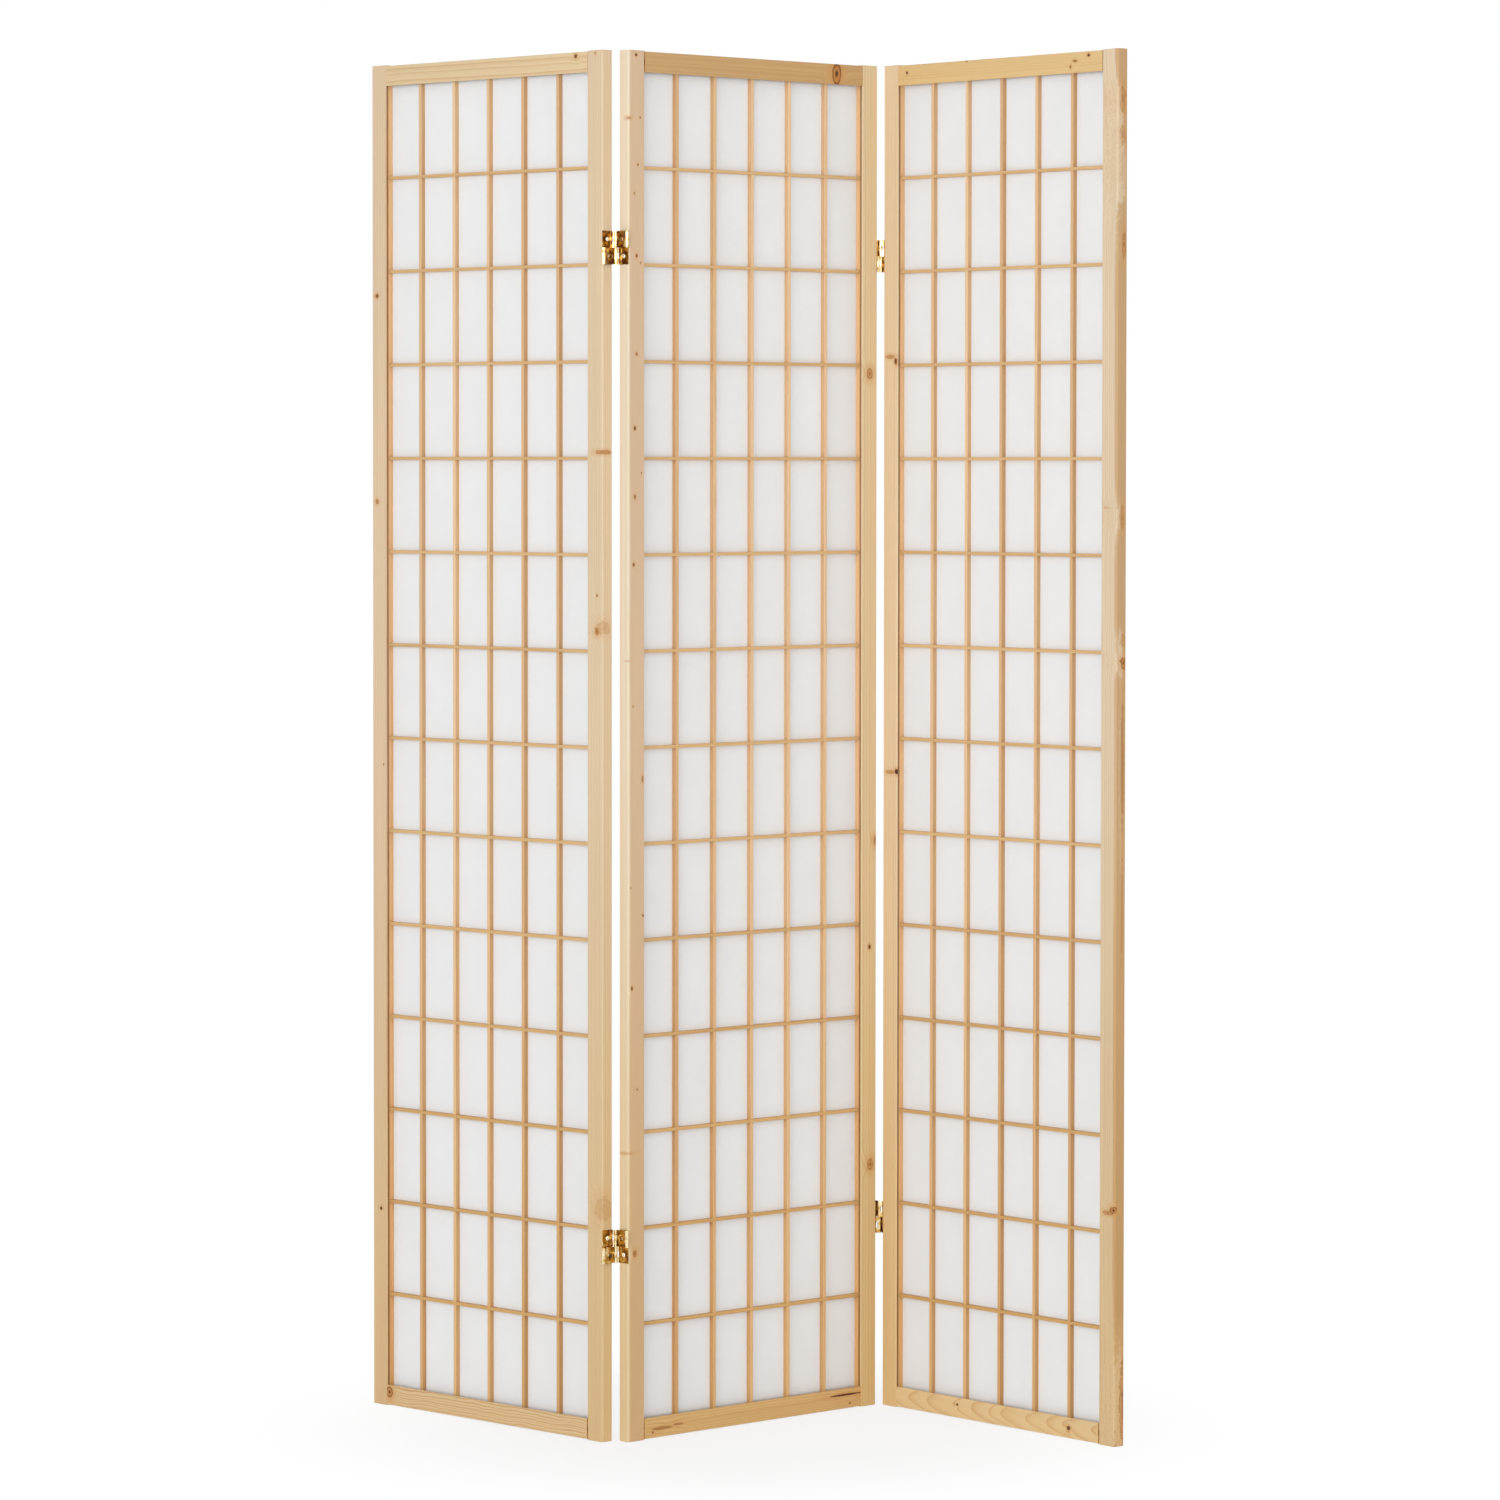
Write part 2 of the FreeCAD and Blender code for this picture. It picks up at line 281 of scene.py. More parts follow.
# %% Growth rings, first half of the pine group
SEED_STEP = -7.3                             # metres of grain between two seeds
WANDER_SCALE, WAVE_SCALE = (16, 16, 1.7), (45, 45, 22)
UNEVEN_SCALE, UNEVEN_RINGS = 170, 1.6        # how soon, and how far, ring widths change
RING_CURVE = [(0, 0), (0.5, 0.06), (0.82, 0.55), (0.93, 1), (1, 0.05)]      # pale to dark
FAINTEST_RING, RING_RANGE = 0.45, 0.9

pine_inputs = {"Grain": "Vector", "Stick": "Vector", "Ring Width": "Float", "Bend": "Float",
               "Knot": "Float", "Core": "Float", "Halo": "Float", "Heart Shade Radius": "Float",
               "Wander": "Float", "Wave": "Float", "Taper": "Float", "Yellowed": "Float",
               "Pale": "Color", "Deep": "Color", "Heart Shade": "Color", "Contrast": "Float",
               "Mixed Lot": "Float"}
pine, pine_in, pine_out = new_group(
    "pine", pine_inputs, {"Color": "Color", "Roughness": "Float", "Height": "Float"})

pith_across, pith_deep, seed = split(pine, pine_in["Stick"])
pith = put(pine, "ShaderNodeCombineXYZ", {
    0: pith_across, 1: pith_deep, 2: calc(pine, "MULTIPLY", seed, SEED_STEP)}).outputs[0]
from_pith = vector_calc(pine, "SUBTRACT", pine_in["Grain"], pith)
radius = vector_calc(pine, "LENGTH", vector_calc(pine, "MULTIPLY", from_pith, (1, 1, 0)))
wander = calc(pine, "SUBTRACT", noise(pine, from_pith, WANDER_SCALE, 2.5), 0.5)
wave = calc(pine, "SUBTRACT", noise(pine, from_pith, WAVE_SCALE, 1.0), 0.5)
along = split(pine, pine_in["Grain"])[2]
for bending, share in ((wander, "Wander"), (wave, "Wave"), (along, "Taper")):
    radius = calc(pine, "MULTIPLY_ADD", bending, pine_in[share], radius)
radius = calc(pine, "ADD", radius, pine_in["Bend"])

uneven = put(pine, "ShaderNodeTexNoise",
             {"W": calc(pine, "MULTIPLY", radius, UNEVEN_SCALE), "Scale": 1.0, "Detail": 1.0},
             noise_dimensions="1D").outputs[0]
ring_count = calc(pine, "DIVIDE", radius, pine_in["Ring Width"])
phase = calc(pine, "FRACT", calc(pine, "MULTIPLY_ADD", uneven, UNEVEN_RINGS, ring_count))
strength = calc(pine, "MULTIPLY_ADD", uneven, RING_RANGE, FAINTEST_RING)
line_depth = product(pine, ramp(pine, phase, RING_CURVE), strength, pine_in["Contrast"])
print("rings:", len(pine.nodes), "nodes")

# %% [markdown]
# Late wood is deeper in tone and smoother, and the sticks of a mixed lot differ
# from one another. Inside a radius round the pith a stick may take a darker
# tone: painted shade on a face turned from the lamps, partly heartwood tone.
# Towards the floor the wood is tinted yellower and loses blue. Fine fibres
# run along the grain and give it bump.

# %% From rings to colour, second half of the pine group
FIBRE_SCALE, CLOUD_SCALE = (1500, 1500, 30), (45, 45, 2.2)
FIBRE_SHADE = CLOUD_SHADE = 0.16
HEART_SHADE_BLUR = 2.5 * MM                        # half the width of the soft edge of the heart shade
PALEST, DARKEST = (1.06, 1.08, 1.12, 1.0), (0.86, 0.78, 0.68, 1.0)      # of a mixed lot
FOOT_YELLOW = (0.9, 0.76, 0.43, 1.0)               # what the full yellowing at the foot leaves of white
KNOT_TAN, KNOT_BROWN, KNOT_GLOW = colour(200, 136, 66), colour(84, 38, 16), colour(214, 156, 86)
GLOW_SHARE = 0.6
ROUGH_FROM, ROUGH_RANGE, LATE_SMOOTHER = 0.44, 0.14, 0.08

fibre = noise(pine, from_pith, FIBRE_SCALE, 3.0)
cloud = noise(pine, from_pith, CLOUD_SCALE, 2.0)
wood = blended(pine, line_depth, pine_in["Pale"], pine_in["Deep"])
# Heart shade: a darker tone inside a radius round the pith, painted shade on faces turned from the
# lamps.
heart_shade_edge = calc(pine, "SUBTRACT", pine_in["Heart Shade Radius"], radius)
wood = blended(pine, stepped(pine, heart_shade_edge, -HEART_SHADE_BLUR, HEART_SHADE_BLUR), wood, pine_in["Heart Shade"])
shade = calc(pine, "ADD", calc(pine, "MULTIPLY_ADD", fibre, FIBRE_SHADE, 1 - FIBRE_SHADE / 2),
             calc(pine, "MULTIPLY_ADD", cloud, CLOUD_SHADE, -CLOUD_SHADE / 2))
wood = tinted(pine, wood, put(pine, "ShaderNodeCombineColor",
                              {0: shade, 1: shade, 2: shade}).outputs[0])
own_tone = put(pine, "ShaderNodeTexWhiteNoise", {"W": seed}, noise_dimensions="1D").outputs[0]
own_colour = blended(pine, calc(pine, "POWER", own_tone, 2.0), PALEST, DARKEST)
wood = tinted(pine, wood, blended(pine, pine_in["Mixed Lot"], WHITE, own_colour))
wood = tinted(pine, wood, blended(pine, pine_in["Yellowed"], WHITE, FOOT_YELLOW))
wood = blended(pine, calc(pine, "MULTIPLY", pine_in["Halo"], GLOW_SHARE), wood, KNOT_GLOW)
wood = blended(pine, pine_in["Knot"], wood, KNOT_TAN)
wood = blended(pine, pine_in["Core"], wood, KNOT_BROWN)
rough = calc(pine, "SUBTRACT", calc(pine, "MULTIPLY_ADD", fibre, ROUGH_RANGE, ROUGH_FROM),
             calc(pine, "MULTIPLY", line_depth, LATE_SMOOTHER))
relief = calc(pine, "MULTIPLY_ADD", line_depth, 0.5, calc(pine, "MULTIPLY", fibre, 0.5))
give_out(pine, pine_out, Color=wood, Roughness=rough, Height=relief)
print("pine group:", len(pine.nodes), "nodes")

# %% [markdown]
# ## Knots
# A knot is the foot of a branch that grew out from the pith, so it goes
# through the stick as a slim cylinder, seen as an oval on the face, and the
# rings flow round it. One group adds one knot to what it is handed, and a
# material chains as many as its stick has. Reach is the distance from the
# knot's axis in radii of the knot: 1 is its rim.

# %% One knot as a node group
RAGGED_SCALE = (210, 210, 160)
RIM_OUT, RIM_IN = (1.1, 0.85), (0.62, 0.95)          # reaches where the rim ends and starts
SPOT, GLOW = (0.45, 0.15), (2.8, 0.9)
INNER_RINGS, INNER_SHOW = 19, 0.2
SMALL_KNOT = (3.6 * MM, 2.6 * MM)                    # below this a knot is dark all over
BEND_ASIDE, BEND_OUT, BEND_FADES = -1.1, 0.6, -0.28

marks = {"Bend": "Float", "Knot": "Float", "Core": "Float", "Halo": "Float"}
knot, knot_in, knot_out = new_group(
    "knot",
    {"Grain": "Vector", "Centre": "Vector", "Radius": "Float", "Lean": "Vector",
     "Oval": "Float", "Dark": "Float", "Ragged": "Float", **marks}, marks)

offset = split(knot, vector_calc(knot, "SUBTRACT", knot_in["Grain"], knot_in["Centre"]))
lean = split(knot, knot_in["Lean"])
aside = calc(knot, "SUBTRACT", calc(knot, "MULTIPLY", offset[0], lean[1]),
             calc(knot, "MULTIPLY", offset[1], lean[0]))
ahead = calc(knot, "DIVIDE", offset[2], knot_in["Oval"])
away = vector_calc(knot, "LENGTH",
                   put(knot, "ShaderNodeCombineXYZ", {0: aside, 1: ahead}).outputs[0])
ragged = calc(knot, "SUBTRACT", noise(knot, knot_in["Grain"], RAGGED_SCALE, 2.0), 0.5)
reach = calc(knot, "MULTIPLY_ADD", ragged, knot_in["Ragged"],
             calc(knot, "DIVIDE", away, knot_in["Radius"]))

disc = stepped(knot, reach, *RIM_OUT)
rim = calc(knot, "MULTIPLY", stepped(knot, reach, *RIM_IN), disc)
dark_parts = calc(knot, "MAXIMUM", rim, stepped(knot, reach, *SPOT))
inner_rings = calc(knot, "MULTIPLY", calc(knot, "SINE", product(knot, reach, INNER_RINGS)),
                   INNER_SHOW)
filled = calc(knot, "MAXIMUM", calc(knot, "ADD", inner_rings, dark_parts),
              stepped(knot, knot_in["Radius"], *SMALL_KNOT))
disc = calc(knot, "MULTIPLY", disc, knot_in["Dark"])
core = product(knot, filled, disc, knot_in["Dark"])
halo = calc(knot, "MULTIPLY", stepped(knot, reach, *GLOW), knot_in["Dark"])
fade = calc(knot, "EXPONENT", product(knot, calc(knot, "POWER", reach, 2.0), BEND_FADES))
push = calc(knot, "MULTIPLY_ADD", aside, BEND_ASIDE, product(knot, knot_in["Radius"], BEND_OUT))
bend = calc(knot, "MULTIPLY", push, fade)
give_out(knot, knot_out, Bend=calc(knot, "ADD", knot_in["Bend"], bend),
         **{label: calc(knot, "MAXIMUM", knot_in[label], value)
            for label, value in (("Knot", disc), ("Core", core), ("Halo", halo))})
print("knot group:", len(knot.nodes), "nodes")

# %% [markdown]
# ## The wood of the frame
# Each stile and rail was cut from a different plank. A stick's entry gives
# where its pith lay (across and into the panel), how wide its rings are, its
# tone, how strongly the rings show, and its knots: how far along the stick,
# how far across it, radius, length over width, darkness and the branch's
# lean. All lengths are in millimetres from the panel's own zero. A taper
# makes the rings end in flames, a wave makes the grain wavy. A very long knot
# is a streak of resin, and a very short one the line of glue at a joint. A
# knot on the edge is seen on the stick's side, and its place across the stick
# is then its depth from the front.

# %% Frame sticks: pith, rings, tone and knots
THROUGH, CORNER_LEFT, CORNER_RIGHT = (0, 1, 0), (0.7, 0.7, 0), (-0.7, 0.7, 0)
ON_EDGE = (-1, 0, 0)
PALE_PINE, DEEP_PINE = (236, 212, 178), (210, 162, 106)
FRAME_STICKS = {
    "left_stile_left": dict(pith=(-70, 60), ring=2.6, tone=(229, 203, 170), show=0.5, knots=[
        (1451, 10, 3.0, 0.8, 1.0, THROUGH), (1183, 10, 3.4, 1.0, 0.75, THROUGH),
        (840, 22, 1.2, 1.0, 0.8, THROUGH), (258, 16, 2.4, 0.9, 1.0, THROUGH)]),
    "left_stile_right": dict(pith=(520, 70), ring=2.4, tone=(229, 206, 172), show=0.6, knots=[
        (1247, 441, 9, 0.3, 0.75, CORNER_RIGHT), (1067, 430, 1.6, 1.2, 0.7, THROUGH),
        (1026, 441, 9, 0.9, 0.35, CORNER_RIGHT), (1022, 430, 3.6, 1.3, 0.9, THROUGH),
        (295, 441, 11, 1.3, 0.3, CORNER_RIGHT), (1746, 427, 1.5, 1.2, 0.6, THROUGH)]),
    "left_rail_top": dict(pith=(1700, 55), ring=4.4, tone=(228, 202, 160), show=0.8, knots=[
        (391, 1744, 2.8, 1.0, 0.9, THROUGH)]),
    "left_rail_bottom": dict(pith=(60, 45), ring=2.5, tone=(235, 213, 183), show=1.3, wave=6.0,
                             knots=[(32.5, 18, 7.6, 0.8, 1.0, THROUGH),
                                    (412.2, 14, 15, 0.05, 0.9, THROUGH)]),
    # heart_shade darkens the front, which is turned from the lamps: painted shade
    "middle_stile_left": dict(pith=(60, -30), ring=3.0, heart_shade=64.5, heart_shade_tone=(221, 190, 155),
                              tone=(237, 220, 193), show=0.2, knots=[
        (1744, 13, 1.8, 1.0, 1.0, THROUGH), (1666, 20, 1.1, 1.2, 0.8, THROUGH),
        (1665, 0, 3.2, 0.6, 0.6, CORNER_LEFT), (1607, 16, 1.4, 1.2, 0.7, THROUGH),
        (1571, 10, 1.3, 1.3, 0.6, THROUGH), (1493, 14, 1.9, 1.2, 0.8, THROUGH),
        (1484, 21, 1.2, 1.4, 0.6, THROUGH), (1370, 14, 1.7, 1.3, 0.7, THROUGH),
        (1277, 11, 1.8, 1.4, 0.9, THROUGH), (1221, 22, 0.9, 1.2, 0.8, THROUGH),
        (1191, 11, 1.9, 1.6, 0.7, THROUGH), (1106, 9, 1.8, 1.3, 0.8, THROUGH),
        (985, 0, 4.0, 0.25, 0.3, CORNER_LEFT), (928, 8, 1.2, 1.2, 0.6, THROUGH),
        (836, 24, 1.6, 3.0, 0.6, THROUGH), (700, 4, 1.2, 1.2, 0.5, THROUGH),
        (664, 25, 1.3, 1.3, 0.9, THROUGH), (573, 6, 1.9, 1.5, 0.8, THROUGH),
        (445, 15, 1.1, 1.2, 0.7, THROUGH), (365, -4, 9.0, 0.2, 0.35, CORNER_LEFT),
        (238, 11, 3.3, 1.3, 0.85, THROUGH)]),
    "middle_stile_right": dict(pith=(510, -40), ring=3.0, tone=(237, 215, 174), show=0.6, knots=[
        (1350, 426, 5.6, 1.3, 0.68, THROUGH), (741, 439, 4.2, 1.7, 0.8, THROUGH),
        (602, 427, 2.2, 1.4, 0.9, THROUGH), (317, 429, 5.6, 1.4, 0.7, THROUGH)]),
    "middle_rail_top": dict(pith=(1690, 50), ring=3.6, tone=(209, 170, 117), show=0.5, knots=[
        (365, 1736, 15, 0.55, 1.0, THROUGH), (27.8, 1736, 16, 0.05, 0.9, THROUGH)]),
    "middle_rail_bottom": dict(pith=(75, 55), ring=3.6, tone=(229, 197, 148), show=0.8,
                               wave=2.5, knots=[
        (42, 8, 1.5, 1.0, 0.9, THROUGH), (58, 12, 2.2, 8.0, 0.6, THROUGH),
        (86, 14, 1.5, 6.0, 0.6, THROUGH), (27.8, 14, 15, 0.04, 0.6, THROUGH),
        (384, 19, 1.3, 22.0, 1.0, THROUGH), (392, 7, 1.4, 1.5, 0.7, THROUGH)]),
    "right_stile_left": dict(pith=(-80, 50), ring=2.6, tone=(239, 215, 178), show=0.6, knots=[
        (1372, 14, 8.5, 0.32, 0.6, THROUGH), (1366, 24, 2.6, 1.6, 0.9, THROUGH),
        (831, 15, 9.5, 0.28, 0.55, THROUGH), (832, 26, 2.4, 1.4, 1.0, THROUGH)]),
    # heart_shade darkens the outer edge, which is turned from the lamps: painted shade, partly
    # heartwood tone
    "right_stile_right": dict(pith=(478, 9), ring=3.4, heart_shade=41.3, heart_shade_tone=(205, 166, 119),
                              wander=6, taper=-0.0012, tone=(231, 211, 181), show=0.6, knots=[
        (1687, 9, 5.0, 3.2, 0.55, ON_EDGE), (1643, 9, 4.5, 3.0, 0.5, ON_EDGE),
        (1601, 15, 9.0, 3.0, 0.25, ON_EDGE), (1505, 11, 3.6, 4.5, 0.65, ON_EDGE),
        (1166, 9, 4.2, 3.4, 0.5, ON_EDGE), (1178, 421, 4.5, 0.3, 0.35, THROUGH),
        (1012, 11, 4.0, 2.0, 0.45, ON_EDGE), (984, 12.5, 5.2, 1.5, 1.0, ON_EDGE),
        (858, 11, 2.8, 28, 0.5, ON_EDGE), (668, 11, 1.5, 45, 0.4, ON_EDGE),
        (298, 438, 4.0, 1.2, 1.0, CORNER_RIGHT), (294, 428, 9.5, 0.3, 0.7, THROUGH),
        (55, 15, 6.0, 9.0, 0.65, ON_EDGE)]),
    "right_rail_top": dict(pith=(1800, 60), ring=4.0, tone=(231, 196, 138), show=0.35,
                           wave=2.0, knots=[
        (45, 1739, 1.7, 1.1, 1.0, THROUGH), (387, 1744, 1.8, 1.3, 1.0, THROUGH),
        (160, 1748, 1.2, 1.2, 0.8, THROUGH), (354, 1731, 2.2, 0.8, 0.7, THROUGH),
        (362, 1738, 1.6, 2.4, 0.7, THROUGH), (412.2, 1736, 15, 0.03, 0.5, THROUGH)]),
    "right_rail_bottom": dict(pith=(16, 23), ring=4.2, tone=(241, 218, 182), show=0.75,
                              wave=2.2, taper=-0.11, knots=[
        (147, 18, 1.5, 1.2, 1.0, THROUGH), (357, 14, 2.8, 1.1, 1.0, THROUGH),
        (412.2, 14, 15, 0.05, 0.9, THROUGH)]),
}
print("frame sticks:", len(FRAME_STICKS),
      "with knots:", sum(len(stick["knots"]) for stick in FRAME_STICKS.values()))

# %% [markdown]
# Some places are painted darker. The sawn sides of the thin bars are darker
# than their planed fronts: partly the tone of rougher sawn wood, partly painted
# shade of the narrow cells. The groove behind a frame's lip gets painted shade,
# darker still.

# %% Where wood is darker: sawn tone and painted shade
BAR_FRONT, SLAT_FRONT = 5.4 * MM, 5 * MM
STILE_W, RAIL_H, RAIL_SET_IN = 27.3 * MM, 26 * MM, 1 * MM
RAIL_TOP = RAIL_SET_IN + RAIL_H
LIP_T, GROOVE_D, GROOVE_BACK = 2 * MM, 5.2 * MM, 12.4 * MM
INNER_FACES = {      # where a frame stick's inner face lies, and which way is into the wood
    "stile_left": (STILE_W, 1), "stile_right": (PANEL_W - STILE_W, -1),
    "rail_bottom": (RAIL_TOP, 1), "rail_top": (PANEL_H - RAIL_TOP, -1)}
# Sawn sides: sawn tone and painted shade. Groove: painted shade.
SAWN_TONE_AND_SHADE, GROOVE_PAINTED_SHADE = (0.8, 0.74, 0.68, 1.0), (0.42, 0.32, 0.24, 1.0)
SAWN_EDGE = (0.3 * MM, 1.2 * MM)             # depths behind the front where the sawn tone and painted shade set in
SHARP_EDGE = 0.1 * MM
GROOVE_STARTS = (0.1 * MM, 0.5 * MM)         # depths below the inner face
GROOVE_ENDS = (GROOVE_D + 1.5 * MM, GROOVE_D + 0.5 * MM)


def groove_shade_mask(tree, across_in, deep_in, level, way):
    """1 inside the groove of a frame stick, where its painted shade goes, else 0."""
    sunk = product(tree, calc(tree, "SUBTRACT", level, across_in), way)
    behind_lip = calc(tree, "MULTIPLY",
                      stepped(tree, deep_in, LIP_T - SHARP_EDGE, LIP_T + SHARP_EDGE),
                      stepped(tree, deep_in, GROOVE_BACK + SHARP_EDGE, GROOVE_BACK - SHARP_EDGE))
    return product(tree, stepped(tree, sunk, *GROOVE_STARTS), stepped(tree, sunk, *GROOVE_ENDS),
                   behind_lip)


print("inner faces:", ", ".join(INNER_FACES))

# %% [markdown]
# A Principled shader finishes the sanded wood: satin, not glossy, with a
# bump of a tenth of a millimetre or less from its own rings and fibres.

# %% Wood materials
NO_HEART_SHADE = -1000                             # a heart radius that no ring is inside
RAGGED_STRAIGHT, RAGGED_LEANING = 0.45, 1.3  # how uneven the outline of a knot is
YELLOW_NONE_AT, YELLOW_FULL_AT, YELLOW_SHARE = 1.0, 0.0, 0.6      # heights in metres, most at the foot
WOOD_BUMP = 0.08 * MM


def with_knots(tree, grain, knots):
    """Chain of knot groups; returns what it adds to the wood."""
    marked = {label: 0.0 for label in marks}
    for along, across, size, oval, dark, lean in knots:
        after = use_group(tree, knot, {
            "Grain": grain, "Radius": size * MM, "Lean": lean, "Oval": oval, "Dark": dark,
            "Centre": (across * MM, across * MM if lean is ON_EDGE else 0, along * MM),
            "Ragged": RAGGED_STRAIGHT if lean is THROUGH else RAGGED_LEANING, **marked})
        marked = {label: after[label] for label in marks}
    return marked


def wood_material(name, tone, ring, heart_shade=NO_HEART_SHADE, knots=(), show=0.5, wander=7.0, wave=0.6,
                  taper=0.0, heart_shade_tone=PALE_PINE, mixed_lot=0.0, sawn_from=None, inner=None):
    """Pine of one tone. The mesh says where the grain runs and where its pith is."""
    material, tree = new_material(name)
    grain = put(tree, "ShaderNodeAttribute", attribute_name="grain").outputs["Vector"]
    stick_at = put(tree, "ShaderNodeAttribute", attribute_name="stick").outputs["Vector"]
    deep_tone = [deep * c / pale for c, pale, deep in zip(tone, PALE_PINE, DEEP_PINE)]
    height = split(tree, object_place(tree))[2]
    yellowed = product(tree, stepped(tree, height, YELLOW_NONE_AT, YELLOW_FULL_AT), YELLOW_SHARE)
    wood_out = use_group(tree, pine, {
        "Grain": grain, "Stick": stick_at, "Ring Width": ring * MM, "Heart Shade Radius": heart_shade * MM,
        "Wander": wander * MM, "Wave": wave * MM, "Taper": taper, "Yellowed": yellowed,
        "Pale": colour(*tone), "Deep": colour(*deep_tone), "Heart Shade": colour(*heart_shade_tone),
        "Contrast": show, "Mixed Lot": mixed_lot, **with_knots(tree, grain, knots)})
    seen_colour = wood_out["Color"]
    across_in, deep_in = split(tree, grain)[:2]
    # Painted shade: partly on the sawn sides, wholly in the groove.
    if sawn_from is not None:
        sawn_and_shaded = stepped(tree, deep_in, *(sawn_from + depth for depth in SAWN_EDGE))
        seen_colour = blended(tree, sawn_and_shaded, seen_colour, SAWN_TONE_AND_SHADE, "MULTIPLY")
    if inner is not None:
        groove_shade = groove_shade_mask(tree, across_in, deep_in, *inner)
        seen_colour = blended(tree, groove_shade, seen_colour, GROOVE_PAINTED_SHADE, "MULTIPLY")
    surface(tree, put(tree, "ShaderNodeBsdfPrincipled", {
        "Base Color": seen_colour, "Roughness": wood_out["Roughness"],
        "Specular IOR Level": 0.35, "Normal": bumped(tree, wood_out["Height"], WOOD_BUMP, 0.5)}))
    return material


frame_woods = {}
for name, stick in FRAME_STICKS.items():
    kind = name.split("_", 1)[1]
    look = {key: value for key, value in stick.items() if key != "pith"}
    frame_woods[name] = wood_material("pine_" + name, inner=INNER_FACES[kind], **look)
bar_wood = wood_material("pine_bars", (238, 202, 158), 2.0, show=0.6, mixed_lot=1.0,
                         sawn_from=BAR_FRONT)
border_wood = wood_material("pine_borders", (240, 196, 146), 2.0, show=0.6, mixed_lot=0.6)
slat_wood = wood_material("pine_slats", (222, 184, 130), 2.2, show=0.5, mixed_lot=0.5,
                          sawn_from=SLAT_FRONT)
print("frame woods:", len(frame_woods))

# %% [markdown]
# ## Shaping sticks
# Every stick starts as a block. Bevels soften its edges, and a cut slices
# the block where the cut ends, picks the faces inside, and pushes them in:
# that one move makes grooves, mortises, laps and the beds of the hinges.

# %% Shaping helpers
AXES = {"x": Vector((1, 0, 0)), "y": Vector((0, 1, 0)), "z": Vector((0, 0, 1))}
TOUCHING = 1e-6              # metres: points nearer than this are one


def block(x0, x1, y0, y1, z0, z1):
    low, high = Vector((x0, y0, z0)), Vector((x1, y1, z1))
    bm = bmesh.new()
    bmesh.ops.create_cube(bm, size=1.0)
    bmesh.ops.scale(bm, vec=high - low, verts=bm.verts)
    bmesh.ops.translate(bm, vec=(low + high) / 2, verts=bm.verts)
    return bm


def long_edges(bm, axis, near=None):
    """Edges that run along an axis, and pass a test of their middle."""
    found = []
    for edge in bm.edges:
        span = edge.verts[1].co - edge.verts[0].co
        mid = (edge.verts[1].co + edge.verts[0].co) / 2
        if abs(span.normalized().dot(AXES[axis])) > 0.999 and (near is None or near(mid)):
            found.append(edge)
    return found


def soften(bm, edges, width, steps=2):
    bmesh.ops.bevel(bm, geom=edges, offset=width, offset_type="OFFSET", segments=steps,
                    profile=0.5, affect="EDGES", clamp_overlap=True, material=-1)


def slice_at(bm, axis, value):
    """New edges where a plane across an axis passes."""
    bmesh.ops.bisect_plane(bm, geom=bm.verts[:] + bm.edges[:] + bm.faces[:], dist=1e-7,
                           plane_co=AXES[axis] * value, plane_no=AXES[axis])


def push_out(bm, faces):
    """Extrudes faces of a closed shape and returns their new points to be moved."""
    grown = bmesh.ops.extrude_face_region(bm, geom=faces)["geom"]
    bmesh.ops.delete(bm, geom=faces, context="FACES")
    return [g for g in grown if isinstance(g, bmesh.types.BMVert)]


def cut_to(bm, axis, level, side, **spans):
    """Takes away what lies past a level on one side of it, inside the spans."""
    number = "xyz".index(axis)
    slice_at(bm, axis, level)
    for other, (low, high) in spans.items():
        slice_at(bm, other, low)
        slice_at(bm, other, high)

    def inside(face):
        centre = face.calc_center_median()
        return (centre[number] - level) * side > 1e-7 and all(
            low < centre["xyz".index(other)] < high for other, (low, high) in spans.items())

    for vert in push_out(bm, [face for face in bm.faces if inside(face)]):
        vert.co[number] = level
    bmesh.ops.remove_doubles(bm, verts=bm.verts, dist=TOUCHING)
    bmesh.ops.dissolve_degenerate(bm, edges=bm.edges, dist=TOUCHING)


def pull_out(bm, axis, start, end, **spans):
    """Draws the faces at start, inside the spans, out to end."""
    number = "xyz".index(axis)
    for other, (low, high) in spans.items():
        slice_at(bm, other, low)
        slice_at(bm, other, high)
    picked = [f for f in bm.faces
              if abs(f.calc_center_median()[number] - start) < TOUCHING and all(
                  low < f.calc_center_median()["xyz".index(other)] < high
                  for other, (low, high) in spans.items())]
    for vert in push_out(bm, picked):
        vert.co[number] = end


def mirrored(bm, axis, at):
    """The same shape mirrored about a plane, its faces turned outwards again."""
    scale = Vector((1, 1, 1)) - 2 * AXES[axis]
    bmesh.ops.scale(bm, vec=scale, verts=bm.verts)
    bmesh.ops.translate(bm, vec=2 * at * AXES[axis], verts=bm.verts)
    bmesh.ops.reverse_faces(bm, faces=bm.faces)
    return bm


print("shaping helpers for", ", ".join(AXES))

# %% [markdown]
# One object may hold several sticks. Each stick's points are noted with its
# grain before the panel is turned into place, so the grain follows the wood
# whatever way the panel stands. A brass part notes instead how much painted
# dark reflection its plate and its knuckles get.

# %% From shapes to a finished piece
GRAIN_UP, GRAIN_LEVEL = (0, 1, 2), (2, 1, 0)     # which axes run across, into and along a stick
SMOOTH_UNDER = math.radians(35)


